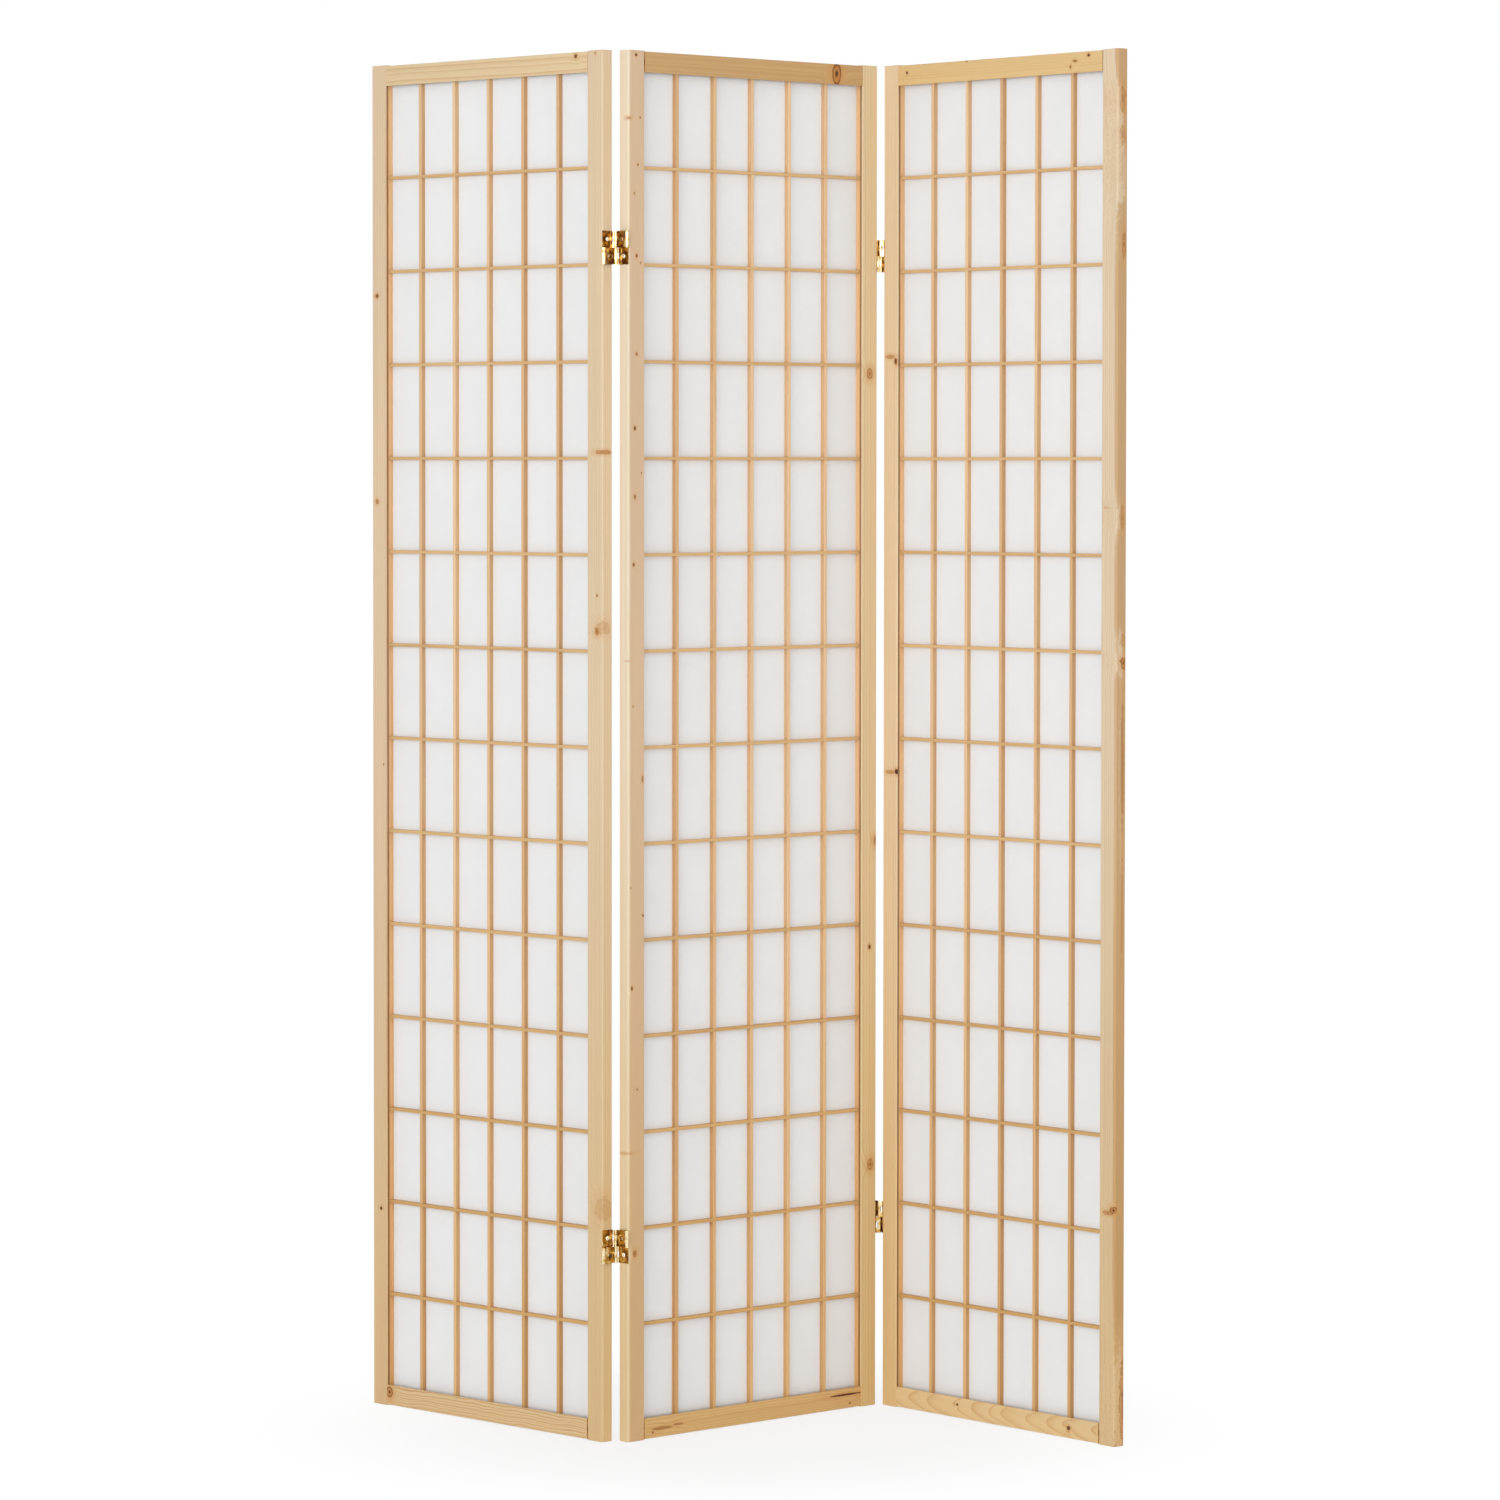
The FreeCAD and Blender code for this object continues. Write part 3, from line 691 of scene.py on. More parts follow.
def make_piece(name, shapes, place, material, body, nodes, grains=None, dark_reflection=None):
    """Joins shapes into one object in the screen's frame, which rides on a body."""
    whole = bmesh.new()
    grain_rows, stick_rows, dark_reflection_row = [], [], []
    for i, bm in enumerate(shapes):
        part = bpy.data.meshes.new("part")
        bm.to_mesh(part)
        bm.free()
        whole.from_mesh(part)
        if grains:
            order, pith_at, seed = grains[i]
            grain_rows += [[v.co[n] for n in order] for v in part.vertices]
            stick_rows += [(*pith_at, seed)] * len(part.vertices)
        # Painted dark reflection: one share for the plate, one for the knuckles.
        if dark_reflection:
            dark_reflection_row += [dark_reflection[min(i, 1)]] * len(part.vertices)
        bpy.data.meshes.remove(part)
    bmesh.ops.transform(whole, matrix=place, verts=whole.verts)
    bmesh.ops.recalc_face_normals(whole, faces=whole.faces)
    mesh = bpy.data.meshes.new(name)
    whole.to_mesh(mesh)
    whole.free()
    for label, rows in (("grain", grain_rows), ("stick", stick_rows)):
        if rows:
            layer = mesh.attributes.new(label, "FLOAT_VECTOR", "POINT")
            layer.data.foreach_set("vector", [c for row in rows for c in row])
    if dark_reflection_row:
        mesh.attributes.new("dark_reflection", "FLOAT", "POINT").data.foreach_set("value", dark_reflection_row)
    mesh.shade_smooth()
    mesh.set_sharp_from_angle(angle=SMOOTH_UNDER)
    mesh.materials.append(material)
    piece = bpy.data.objects.new(name, mesh)
    weighted = piece.modifiers.new("flat_faces_stay_flat", "WEIGHTED_NORMAL")
    weighted.keep_sharp = True
    bpy.context.scene.collection.objects.link(piece)
    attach(piece, body)
    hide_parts(*nodes)
    return piece


print("edges sharper than", round(math.degrees(SMOOTH_UNDER)), "degrees stay sharp")

# %% [markdown]
# ## Stiles and rails
# A stile is the full height of the panel. Its outer edges are well rounded,
# its inner ones only eased, and a stopped groove in its inner edge holds the
# lattice and the paper. The rails stand between the stiles on stub tenons, and
# a hairline is left at each joint, as between any two pieces of wood.

# %% Stile and rail shapes
OUTER_ROUND, EASE, END_EASE = 2.5 * MM, 0.8 * MM, 0.6 * MM
ROUND_STEPS, EASE_STEPS = 6, 3
TENON_L, TENON_H, TENON_T, TENON_EASE = 15 * MM, 13 * MM, 7 * MM, 0.1 * MM
MORTISE_DEEPER = 0.5 * MM
TENON_Z = (RAIL_SET_IN + RAIL_TOP - GROOVE_D) / 2
TIGHT_JOINTS = (0.15, 0.15)
JOINT_LINES = {      # millimetres that a rail's left and right joint have opened
    "left_rail_bottom": (0.15, 0.5), "middle_rail_top": (0.45, 0.15),
    "middle_rail_bottom": (0.3, 0.15), "right_rail_top": (0.15, 0.3),
    "right_rail_bottom": (0.15, 0.5)}
SEED_PER_PITH = 0.01         # so that two sticks with names of one length differ
HINGE_H, HINGE_FROM_END = 42 * MM, 247 * MM
LEAF_LET_IN, LEAF_PLAY = 0.8 * MM, 0.2 * MM
HINGE_HEIGHTS = {"lower": HINGE_FROM_END, "upper": PANEL_H - HINGE_FROM_END}


def stile_shape(hinged):
    """Left stile; the right one is its mirror image."""
    bm = block(0, STILE_W, 0, PANEL_T, 0, PANEL_H)
    soften(bm, long_edges(bm, "z", lambda m: m.x < STILE_W / 2), OUTER_ROUND, ROUND_STEPS)
    soften(bm, long_edges(bm, "z", lambda m: m.x > STILE_W - EASE), EASE, EASE_STEPS)
    ends = [e for e in bm.edges if all(v.co.z < TOUCHING for v in e.verts)
            or all(v.co.z > PANEL_H - TOUCHING for v in e.verts)]
    soften(bm, ends, END_EASE)
    low = RAIL_TOP - GROOVE_D
    cut_to(bm, "x", STILE_W - GROOVE_D, 1, y=(LIP_T, GROOVE_BACK), z=(low, PANEL_H - low))
    for z in (TENON_Z, PANEL_H - TENON_Z):
        cut_to(bm, "x", STILE_W - TENON_L - MORTISE_DEEPER, 1,
               y=(MID_T - TENON_T / 2, MID_T + TENON_T / 2),
               z=(z - TENON_H / 2, z + TENON_H / 2))
    if hinged:
        half = HINGE_H / 2 + LEAF_PLAY
        for z in HINGE_HEIGHTS.values():
            cut_to(bm, "x", LEAF_LET_IN, -1, z=(z - half, z + half))
    return bm


def rail_shape(left_line, right_line):
    """Bottom rail, its groove on top and a tenon at each end; the top one is its mirror image."""
    x0, x1 = STILE_W + left_line * MM, PANEL_W - STILE_W - right_line * MM
    bm = block(x0, x1, 0, PANEL_T, RAIL_SET_IN, RAIL_TOP)
    soften(bm, long_edges(bm, "x"), EASE, EASE_STEPS)
    cut_to(bm, "z", RAIL_TOP - GROOVE_D, 1, y=(LIP_T, GROOVE_BACK))
    thin, high = TENON_T / 2 - TENON_EASE, TENON_H / 2 - TENON_EASE
    spans = {"y": (MID_T - thin, MID_T + thin), "z": (TENON_Z - high, TENON_Z + high)}
    pull_out(bm, "x", x0, STILE_W - TENON_L, **spans)
    pull_out(bm, "x", x1, PANEL_W - STILE_W + TENON_L, **spans)
    return bm


def frame_piece(name, shape, side, order):
    """Finishes one stile or rail with its own wood, pith and seed."""
    across, deep = FRAME_STICKS[name]["pith"]
    grain = (order, (across * MM, deep * MM), len(name) + across * SEED_PER_PITH)
    return make_piece(name + "_wood", [shape], PLACES[side], frame_woods[name], BODY_OF[side],
                      [name], [grain])


for side in PLACES:
    for end in ("left", "right"):
        shape = stile_shape(end in HINGED_SIDES[side])
        if end == "right":
            mirrored(shape, "x", PANEL_W / 2)
        frame_piece(f"{side}_stile_{end}", shape, side, GRAIN_UP)
    for end in ("bottom", "top"):
        name = f"{side}_rail_{end}"
        shape = rail_shape(*JOINT_LINES.get(name, TIGHT_JOINTS))
        if end == "top":
            mirrored(shape, "z", PANEL_H / 2)
        made = frame_piece(name, shape, side, GRAIN_LEVEL)
    print(side, "frame made; faces of its last rail:", len(made.data.polygons))

# %% [markdown]
# ## Lattice
# The upright bars run from groove to groove, and the level slats lie over
# them in half-laps, a shade prouder. Sticks this thin show one or two rings
# each, so neighbours differ: a seeded draw gives each one its own pith and
# its own tone.

# %% Bars, borders and slats
BAR_W, SLAT_H = 4.8 * MM, 4.2 * MM
LAP_DEPTH, LATTICE_BACK, BAR_PITCH = 8.5 * MM, 12 * MM, 65.6 * MM
COLUMNS, ROWS = 6, 14
BORDER_AT = STILE_W + 0.2 * MM - BAR_W / 2
STICK_EASE, LAP_PLAY = 0.35 * MM, 0.06 * MM
bar_centres = [PANEL_W / 2 + (i - COLUMNS / 2 + 1) * BAR_PITCH for i in range(COLUMNS - 1)]
clear_row = (PANEL_H - 2 * RAIL_TOP - (ROWS - 1) * SLAT_H) / ROWS
slat_centres = [RAIL_TOP + (i + 1) * clear_row + (i + 0.5) * SLAT_H for i in range(ROWS - 1)]


def upright_shape(x, notched):
    """Upright bar with its front edges eased, notched where the slats lie over it."""
    low = RAIL_TOP - GROOVE_D
    bm = block(x - BAR_W / 2, x + BAR_W / 2, BAR_FRONT, LATTICE_BACK, low, PANEL_H - low)
    soften(bm, long_edges(bm, "z", lambda m: m.y < LAP_DEPTH), STICK_EASE)
    if notched:
        for z in slat_centres:
            half = SLAT_H / 2 + LAP_PLAY
            cut_to(bm, "y", LAP_DEPTH, -1, z=(z - half, z + half))
    return bm


def slat_shape(z):
    """Level slat with a lap over each upright bar."""
    end = BORDER_AT + BAR_W / 2
    bm = block(end, PANEL_W - end, SLAT_FRONT, LATTICE_BACK, z - SLAT_H / 2, z + SLAT_H / 2)
    soften(bm, long_edges(bm, "x", lambda m: m.y < LAP_DEPTH), STICK_EASE)
    for x in bar_centres:
        half = BAR_W / 2 + LAP_PLAY
        cut_to(bm, "y", LAP_DEPTH, 1, x=(x - half, x + half))
    return bm


print("bars at", [round(x / MM, 1) for x in bar_centres], "mm")

# %% [markdown]
# Each panel's lattice is three pieces: the bars between, the two borders
# along the stiles, and the slats.

# %% Draw the grain and make the lattice
draw = random.Random(11)
PITH_NEAREST, PITH_FARTHEST, SEEDS = 12, 60, 9


def stick_grain(order, middle_of_stick):
    """Pith near a thin stick, on any side of it, and a seed for its tone."""
    angle = draw.uniform(0, 2 * math.pi)
    distance = draw.uniform(PITH_NEAREST, PITH_FARTHEST) * MM
    pith_at = (middle_of_stick + distance * math.cos(angle), MID_T + distance * math.sin(angle))
    return order, pith_at, draw.uniform(0, SEEDS)


borders = (BORDER_AT, PANEL_W - BORDER_AT)
for side, place in PLACES.items():
    rows = [
        ("bars", [upright_shape(x, True) for x in bar_centres], bar_wood,
         [stick_grain(GRAIN_UP, x) for x in bar_centres]),
        ("borders", [upright_shape(x, False) for x in borders], border_wood,
         [stick_grain(GRAIN_UP, x) for x in borders]),
        ("slats", [slat_shape(z) for z in slat_centres], slat_wood,
         [stick_grain(GRAIN_LEVEL, z) for z in slat_centres]),
    ]
    for kind, shapes, material, grains in rows:
        node = f"{side}_lattice_{kind}"
        made = make_piece(node + "_wood", shapes, place, material, BODY_OF[side],
                          [node], grains)
        print(made.name, len(made.data.polygons), "faces")

# %% [markdown]
# ## Paper
# Shoji paper is a thin white sheet with long fibres scattered in it. The flat
# solid is right as it is, so it only gets a finish: cloudy at arm's length,
# fibrous close up, with a trace of bump. A third of the light comes through
# from behind, which is what makes the paper look even and calm.

# %% Paper finish
LIGHT_THROUGH = 0.35
PAPER_WHITE, PAPER_CLOUD, PAPER_STRAND = [colour(grey, grey, grey) for grey in (250, 241, 254)]
CLOUD_SHARE, STRAND_SHARE = 0.5, 0.25
PAPER_CLOUD_SCALE, WARP_SCALE, STRAND_SCALE = (26, 26, 26), 60, 130
WARP = (0.01, 0.01, 0.01)                    # metres that the strands stray
STRAND_WIDTH = 0.06

paper, tree = new_material("shoji_paper")
spot = object_place(tree)
clouds = noise(tree, spot, PAPER_CLOUD_SCALE, 4.0)
stray = put(tree, "ShaderNodeTexNoise", {"Vector": spot, "Scale": WARP_SCALE}).outputs["Color"]
warped = vector_calc(tree, "ADD", spot, vector_calc(tree, "MULTIPLY", stray, WARP))
net = put(tree, "ShaderNodeTexVoronoi", {"Vector": warped, "Scale": STRAND_SCALE},
          feature="DISTANCE_TO_EDGE").outputs[0]
strand = stepped(tree, net, STRAND_WIDTH, 0.0)
white = blended(tree, product(tree, clouds, CLOUD_SHARE), PAPER_WHITE, PAPER_CLOUD)
white = blended(tree, product(tree, strand, STRAND_SHARE), white, PAPER_STRAND)
relief = calc(tree, "MULTIPLY_ADD", strand, 0.6, product(tree, clouds, 0.4))
bump = bumped(tree, relief, 0.1 * MM, 0.4)
sheen = put(tree, "ShaderNodeBsdfPrincipled",
            {"Base Color": white, "Roughness": 0.85, "Specular IOR Level": 0.2, "Normal": bump})
through = put(tree, "ShaderNodeBsdfTranslucent", {"Color": white, "Normal": bump})
surface(tree, put(tree, "ShaderNodeMixShader", {
    0: LIGHT_THROUGH, 1: sheen.outputs[0], 2: through.outputs[0]}))
for side in PLACES:
    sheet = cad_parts[side + "_paper"]
    sheet.data.materials.clear()
    sheet.data.materials.append(paper)
print("paper on", len(PLACES), "sheets")

# %% [markdown]
# ## Brass
# The hinges are stamped from polished brass sheet. Polishing leaves a faint
# haze and fine scratches, which change how sharp the reflections are. Blotches
# a few millimetres wide darken the brass from its own pale tone to golden and
# dark brown: painted reflection of dark surroundings. Some hinges get more of
# it than others, and the plates more than the knuckles.

# %% Brass finish, with painted dark reflection
HAZE_SCALE, SCRATCH_SCALE = (160, 160, 160), (2600, 2600, 340)
HAZE_SHARE, SCRATCH_SHARE = 0.6, 0.4
# Painted dark reflection: blotches that darken the brass, standing in for dark surroundings
# mirrored in it.
REFLECTION_BLOTCHES, REFLECTION_FROM, REFLECTION_TO = 1.6, 0.1, 0.9
SCRATCH_BUMP = 0.02 * MM

wear_and_reflection, wear_in, wear_out = new_group(
    "polish_and_reflection", {"Place": "Vector", "Sharp": "Float", "Dull": "Float", "Dark Reflection": "Float"},
    {"Roughness": "Float", "Tint": "Float", "Height": "Float"})
haze = noise(wear_and_reflection, wear_in["Place"], HAZE_SCALE, 3.0)
scratch = noise(wear_and_reflection, wear_in["Place"], SCRATCH_SCALE, 2.0)
worn = calc(wear_and_reflection, "MULTIPLY_ADD", scratch, SCRATCH_SHARE, product(wear_and_reflection, haze, HAZE_SHARE))
span = calc(wear_and_reflection, "SUBTRACT", wear_in["Dull"], wear_in["Sharp"])
# Blotches of painted dark reflection, more where the share is higher.
reflection_blotch = calc(wear_and_reflection, "MULTIPLY_ADD", calc(wear_and_reflection, "SUBTRACT", haze, 0.5), REFLECTION_BLOTCHES, wear_in["Dark Reflection"])
give_out(wear_and_reflection, wear_out, Roughness=calc(wear_and_reflection, "MULTIPLY_ADD", worn, span, wear_in["Sharp"]),
         Tint=stepped(wear_and_reflection, reflection_blotch, REFLECTION_FROM, REFLECTION_TO), Height=scratch)


def brass_material(name, light, golden, dark, sharp, dull):
    """Brass from its own pale tone to golden and dark, which are painted dark reflection; sharp
    and dull are the ends of its roughness.
    """
    material, tree = new_material(name)
    dark_reflection = put(tree, "ShaderNodeAttribute", attribute_name="dark_reflection").outputs["Fac"]
    polish_and_reflection = use_group(tree, wear_and_reflection, {"Place": object_place(tree), "Sharp": sharp,
                                    "Dull": dull, "Dark Reflection": dark_reflection})
    # Painted reflection: golden and dark blotches over the brass's own pale tone.
    reflected_tone = blended(tree, stepped(tree, polish_and_reflection["Tint"], 0.0, 0.5), light, golden)
    reflected_tone = blended(tree, stepped(tree, polish_and_reflection["Tint"], 0.5, 1.0), reflected_tone, dark)
    surface(tree, put(tree, "ShaderNodeBsdfPrincipled", {
        "Base Color": reflected_tone, "Metallic": 1.0, "Roughness": polish_and_reflection["Roughness"],
        "Coat Weight": 0.8, "Coat Roughness": 0.08,
        "Normal": bumped(tree, polish_and_reflection["Height"], SCRATCH_BUMP, 0.3)}))
    return material


hinge_brass = brass_material("hinge_brass", colour(243, 226, 180), colour(207, 160, 68),
                             colour(118, 78, 28), 0.1, 0.28)
pin_brass = brass_material("pin_brass", colour(244, 226, 166), colour(216, 178, 100),
                           colour(190, 150, 84), 0.08, 0.24)
screw_brass = brass_material("screw_brass", colour(253, 246, 222), colour(242, 228, 190),
                             colour(232, 214, 166), 0.06, 0.2)
print("brass:", hinge_brass.name, pin_brass.name, screw_brass.name)

# %% [markdown]
# ## Hinges
# A hinge part's own frame has x = 0 on the edge of its panel and x growing
# into the gap, y from the panel's front to its back, and z = 0 at half its
# height. A leaf is one strip of sheet: its ends are rolled round the pins, and
# rolling is what spin does, so each knuckle is spun from the sheet's end.

# %% Leaf with rolled knuckles
KNUCKLES, KNUCKLE_GAP = 6, 0.15 * MM
BARREL_R, PIN_R, PIN_PLAY = 2.4 * MM, 1.2 * MM, 0.05 * MM
LEAF_T, LEAF_MARGIN, SHEET_EASE = 1.2 * MM, 0.3 * MM, 0.12 * MM
BACK_AXIS, FRONT_AXIS = PANEL_T + AXIS_OUT, -AXIS_OUT
ROLL_STEPS, ROLL_ANGLE = 26, math.radians(292)
STRIP_ROOT, STRIP_STARTS = 0.9 * MM, 1.5 * MM    # beyond the panel's face, and before it
STRIP_BENDS, STRIP_THINS = 0.25 * MM, 0.1 * MM   # where its inner side turns, and by how much


def row_span(row):
    """Bottom and top of one knuckle, counted from the top."""
    height = HINGE_H / KNUCKLES
    top = HINGE_H / 2 - (row - 1) * height
    return top - height + KNUCKLE_GAP / 2, top - KNUCKLE_GAP / 2


def grown_ring(bm, edges, points):
    """Extrudes a closed ring of edges to new points, given in the ring's order."""
    before = ring_order(edges)
    grown = bmesh.ops.extrude_edge_only(bm, edges=edges)["geom"]
    new_verts = [g for g in grown if isinstance(g, bmesh.types.BMVert)]
    pairs = [(next(v for v in new_verts if (v.co - old.co).length < 1e-9), point)
             for old, point in zip(before, points)]
    for vert, point in pairs:
        vert.co = point
    return [g for g in grown if isinstance(g, bmesh.types.BMEdge)]


def ring_order(edges):
    """Corners of a four-sided ring: outer low, inner low, inner high, outer high."""
    verts = {v for e in edges for v in e.verts}
    low = sorted(v.co.z for v in verts)[1]
    bottom = sorted((v for v in verts if v.co.z <= low + 1e-9), key=lambda v: v.co.x)
    top = sorted((v for v in verts if v.co.z > low + 1e-9), key=lambda v: v.co.x)
    return [bottom[0], bottom[1], top[1], top[0]]


def rolled_knuckle(row, back):
    """Strip that leaves the plate, touches the barrel's far side and rolls round the pin."""
    low, high = row_span(row)
    inner = PIN_R + PIN_PLAY
    centre = Vector((HALF_GAP, BACK_AXIS, 0))
    root = Vector((-LEAF_LET_IN, PANEL_T + STRIP_ROOT, 0))
    towards = root - centre
    touch = math.atan2(towards.y, towards.x) - math.acos(BARREL_R / towards.length)
    out = Vector((math.cos(touch), math.sin(touch), 0))
    face_x = LEAF_T - LEAF_LET_IN
    start_y = PANEL_T - STRIP_STARTS
    stations = [             # points of the strip's outer and inner side
        (Vector((-LEAF_LET_IN, start_y, 0)), Vector((face_x, start_y, 0))),
        (root, Vector((face_x - STRIP_THINS, PANEL_T + STRIP_BENDS, 0))),
        (centre + out * BARREL_R, centre + out * inner),
    ]

    def corners(outer, nearer):
        return [Vector((p.x, p.y, z)) for p, z in
                ((outer, low), (nearer, low), (nearer, high), (outer, high))]

    bm = bmesh.new()
    start = bm.faces.new([bm.verts.new(c) for c in corners(*stations[0])])
    ring = list(start.edges)
    for station in stations[1:]:
        ring = grown_ring(bm, ring, corners(*station))
    last = bmesh.ops.spin(bm, geom=ring, cent=centre, axis=(0, 0, 1), angle=-ROLL_ANGLE,
                          steps=ROLL_STEPS, use_duplicate=False)["geom_last"]
    bmesh.ops.contextual_create(bm, geom=[g for g in last if isinstance(g, bmesh.types.BMEdge)])
    bmesh.ops.recalc_face_normals(bm, faces=bm.faces)
    if not back:
        mirrored(bm, "y", MID_T)
    return bm


def leaf_shapes():
    """Plate with knuckles 1 and 3 at the back and 4 and 6 at the front."""
    plate = block(-LEAF_LET_IN, LEAF_T - LEAF_LET_IN, LEAF_MARGIN, PANEL_T - LEAF_MARGIN,
                  -HINGE_H / 2, HINGE_H / 2)
    soften(plate, plate.edges[:], SHEET_EASE)
    return [plate] + [rolled_knuckle(row, back)
                      for row, back in ((1, True), (3, True), (4, False), (6, False))]


print("knuckle height", round((row_span(1)[1] - row_span(1)[0]) / MM, 2), "mm")

# %% [markdown]
# The link crosses the gap in one half of the hinge, from a barrel at the back
# to a barrel at the front. A driver has to reach the screws behind it, so it
# has a round hole: a ring of points whose outside is pulled to a rectangle.

# %% Link with its barrels, and pins
LINK_T, LINK_CLEAR = 1.2 * MM, 0.5 * MM
TONGUE_CLEAR = 0.3 * MM                      # from the bore to the end of the link's tongue
SCREW_SPACING, DRIVER_HOLE_R = 21 * MM, 3.4 * MM
PIN_STANDS_OUT, PIN_ROUND, PIN_SIDES = 0.4 * MM, 0.3 * MM, 24
ROUND = 32


def ring_wall(radius, inner, low, high):
    """Open barrel: four edges in a square, spun once round the pin."""
    bm = bmesh.new()
    corners = [bm.verts.new((r, 0, z)) for r, z in
               ((inner, low), (radius, low), (radius, high), (inner, high))]
    edges = [bm.edges.new((corners[i - 1], corners[i])) for i in range(4)]
    bmesh.ops.spin(bm, geom=edges, cent=(0, 0, 0), axis=(0, 0, 1), angle=2 * math.pi,
                   steps=ROUND, use_merge=True, use_duplicate=False)
    bmesh.ops.remove_doubles(bm, verts=bm.verts, dist=1e-7)
    bmesh.ops.recalc_face_normals(bm, faces=bm.faces)
    return bm


def holed_plate(y0, y1, z0, z1, hole_y, hole_z, hole_r):
    """Plate of the link's thickness with a round hole."""
    bm = bmesh.new()
    hole = bmesh.ops.create_circle(bm, radius=hole_r, segments=ROUND)["verts"]
    bmesh.ops.rotate(bm, verts=hole, matrix=Matrix.Rotation(math.pi / 2, 3, "Y"))
    bmesh.ops.translate(bm, verts=hole, vec=(0, hole_y, hole_z))
    outer = bmesh.ops.extrude_edge_only(bm, edges=bm.edges[:])["geom"]
    for vert in (g for g in outer if isinstance(g, bmesh.types.BMVert)):
        ray = Vector((vert.co.y - hole_y, vert.co.z - hole_z))
        ray /= max(abs(ray.x), abs(ray.y))
        vert.co.y = hole_y + ray.x * ((y1 - hole_y) if ray.x > 0 else (hole_y - y0))
        vert.co.z = hole_z + ray.y * ((z1 - hole_z) if ray.y > 0 else (hole_z - z0))
    faces = bmesh.ops.extrude_face_region(bm, geom=bm.faces[:])["geom"]
    bmesh.ops.translate(bm, verts=[g for g in faces if isinstance(g, bmesh.types.BMVert)],
                        vec=(LINK_T, 0, 0))
    bmesh.ops.translate(bm, verts=bm.verts, vec=(HALF_GAP - LINK_T / 2, 0, 0))
    bmesh.ops.recalc_face_normals(bm, faces=bm.faces)
    return bm


def link_shapes():
    """Plate over knuckles 1 to 3, and a barrel on a tongue at each end of knuckle 2."""
    low, high = row_span(3)[0], row_span(1)[1]
    clear = BARREL_R + LINK_CLEAR - AXIS_OUT
    shapes = [holed_plate(clear, PANEL_T - clear, low, high, MID_T, SCREW_SPACING / 2,
                          DRIVER_HOLE_R)]
    low, high = row_span(2)
    inner = PIN_R + PIN_PLAY
    for y, edge in ((FRONT_AXIS, clear), (BACK_AXIS, PANEL_T - clear)):
        barrel = ring_wall(BARREL_R, inner, low, high)
        bmesh.ops.translate(barrel, verts=barrel.verts, vec=(HALF_GAP, y, 0))
        inwards = 1 if y < MID_T else -1
        start = y + inwards * (inner + TONGUE_CLEAR)
        shapes += [barrel, block(HALF_GAP - LINK_T / 2, HALF_GAP + LINK_T / 2,
                                 min(start, edge), max(start, edge), low, high)]
    return shapes


def pin_shape(back):
    """Pin through three knuckles with a rounded end that stands out."""
    bm = bmesh.new()
    low, high = row_span(3)[0], row_span(1)[1] + PIN_STANDS_OUT
    bmesh.ops.create_cone(bm, cap_ends=True, segments=PIN_SIDES, radius1=PIN_R, radius2=PIN_R,
                          depth=high - low)
    rims = [e for e in bm.edges if abs(e.verts[0].co.z - e.verts[1].co.z) < TOUCHING]
    soften(bm, rims, PIN_ROUND, EASE_STEPS)
    bmesh.ops.translate(bm, verts=bm.verts,
                        vec=(HALF_GAP, BACK_AXIS if back else FRONT_AXIS, (low + high) / 2))
    return bm


print("link plate", round((row_span(1)[1] - row_span(3)[0]) / MM, 2), "mm high")

# %% [markdown]
# A screw head is a low dome with a cross-shaped recess, sunk as the grooves
# were: slice, pick, push in.

# %% Screw head
SCREW_R = 3.0 * MM
SCREW_STEPS = [(3.0, 0.2), (2.9, 0.45), (2.6, 0.78), (2.15, 1.02), (1.75, 1.14)]    # radius, rise
SUNK = 0.15 * MM
CROSS_W, CROSS_L, CROSS_D = 0.5 * MM, 1.5 * MM, 0.7 * MM     # half width, half length, depth


def screw_shape(height, turn):
    """Screw head on a leaf, its cross turned by some degrees."""
    bm = bmesh.new()
    bmesh.ops.create_circle(bm, radius=SCREW_R, segments=ROUND, cap_ends=True)
    edges = bm.edges[:]
    for radius, rise in SCREW_STEPS:
        grown = bmesh.ops.extrude_edge_only(bm, edges=edges)["geom"]
        edges = [g for g in grown if isinstance(g, bmesh.types.BMEdge)]
        for vert in (g for g in grown if isinstance(g, bmesh.types.BMVert)):
            flat = Vector((vert.co.x, vert.co.y)).normalized() * radius * MM
            vert.co = (flat.x, flat.y, rise * MM)
    bmesh.ops.contextual_create(bm, geom=edges)
    top = SCREW_STEPS[-1][1] * MM
    for axis in ("x", "y"):
        for value in (-CROSS_L, -CROSS_W, CROSS_W, CROSS_L):
            slice_at(bm, axis, value)
    picked = []
    for face in bm.faces:
        x, y, z = face.calc_center_median()
        narrow, wide = sorted((abs(x), abs(y)))
        if abs(z - top) < TOUCHING and narrow < CROSS_W and wide < CROSS_L:
            picked.append(face)
    bmesh.ops.translate(bm, verts=push_out(bm, picked), vec=(0, 0, -CROSS_D))
    bmesh.ops.recalc_face_normals(bm, faces=bm.faces)
    stand = (Matrix.Translation((LEAF_T - LEAF_LET_IN - SUNK, MID_T, height))
             @ Matrix.Rotation(math.pi / 2, 4, "Y") @ turned(turn))
    bmesh.ops.transform(bm, matrix=stand, verts=bm.verts)
    return bm


print("screw head", 2 * SCREW_R / MM, "mm wide")

# %% [markdown]
# The far leaf is the near leaf turned half round, and the lower link is the
# upper one flipped over: the same stamping serves both, as in the real hinge.

# %% Leaves and screws
CENTRE = Vector((HALF_GAP, MID_T, 0))
JOINTS = (("left", "left", "middle"), ("right", "middle", "right"))     # name, near, far
DARK_REFLECTION = {           # how much painted dark reflection the plates and the knuckles of each hinge get
    "left_hinge_upper": (0.7, 0.25), "left_hinge_lower": (0.55, 0.25),
    "right_hinge_upper": (0.55, 0.3), "right_hinge_lower": (0.65, 0.35)}


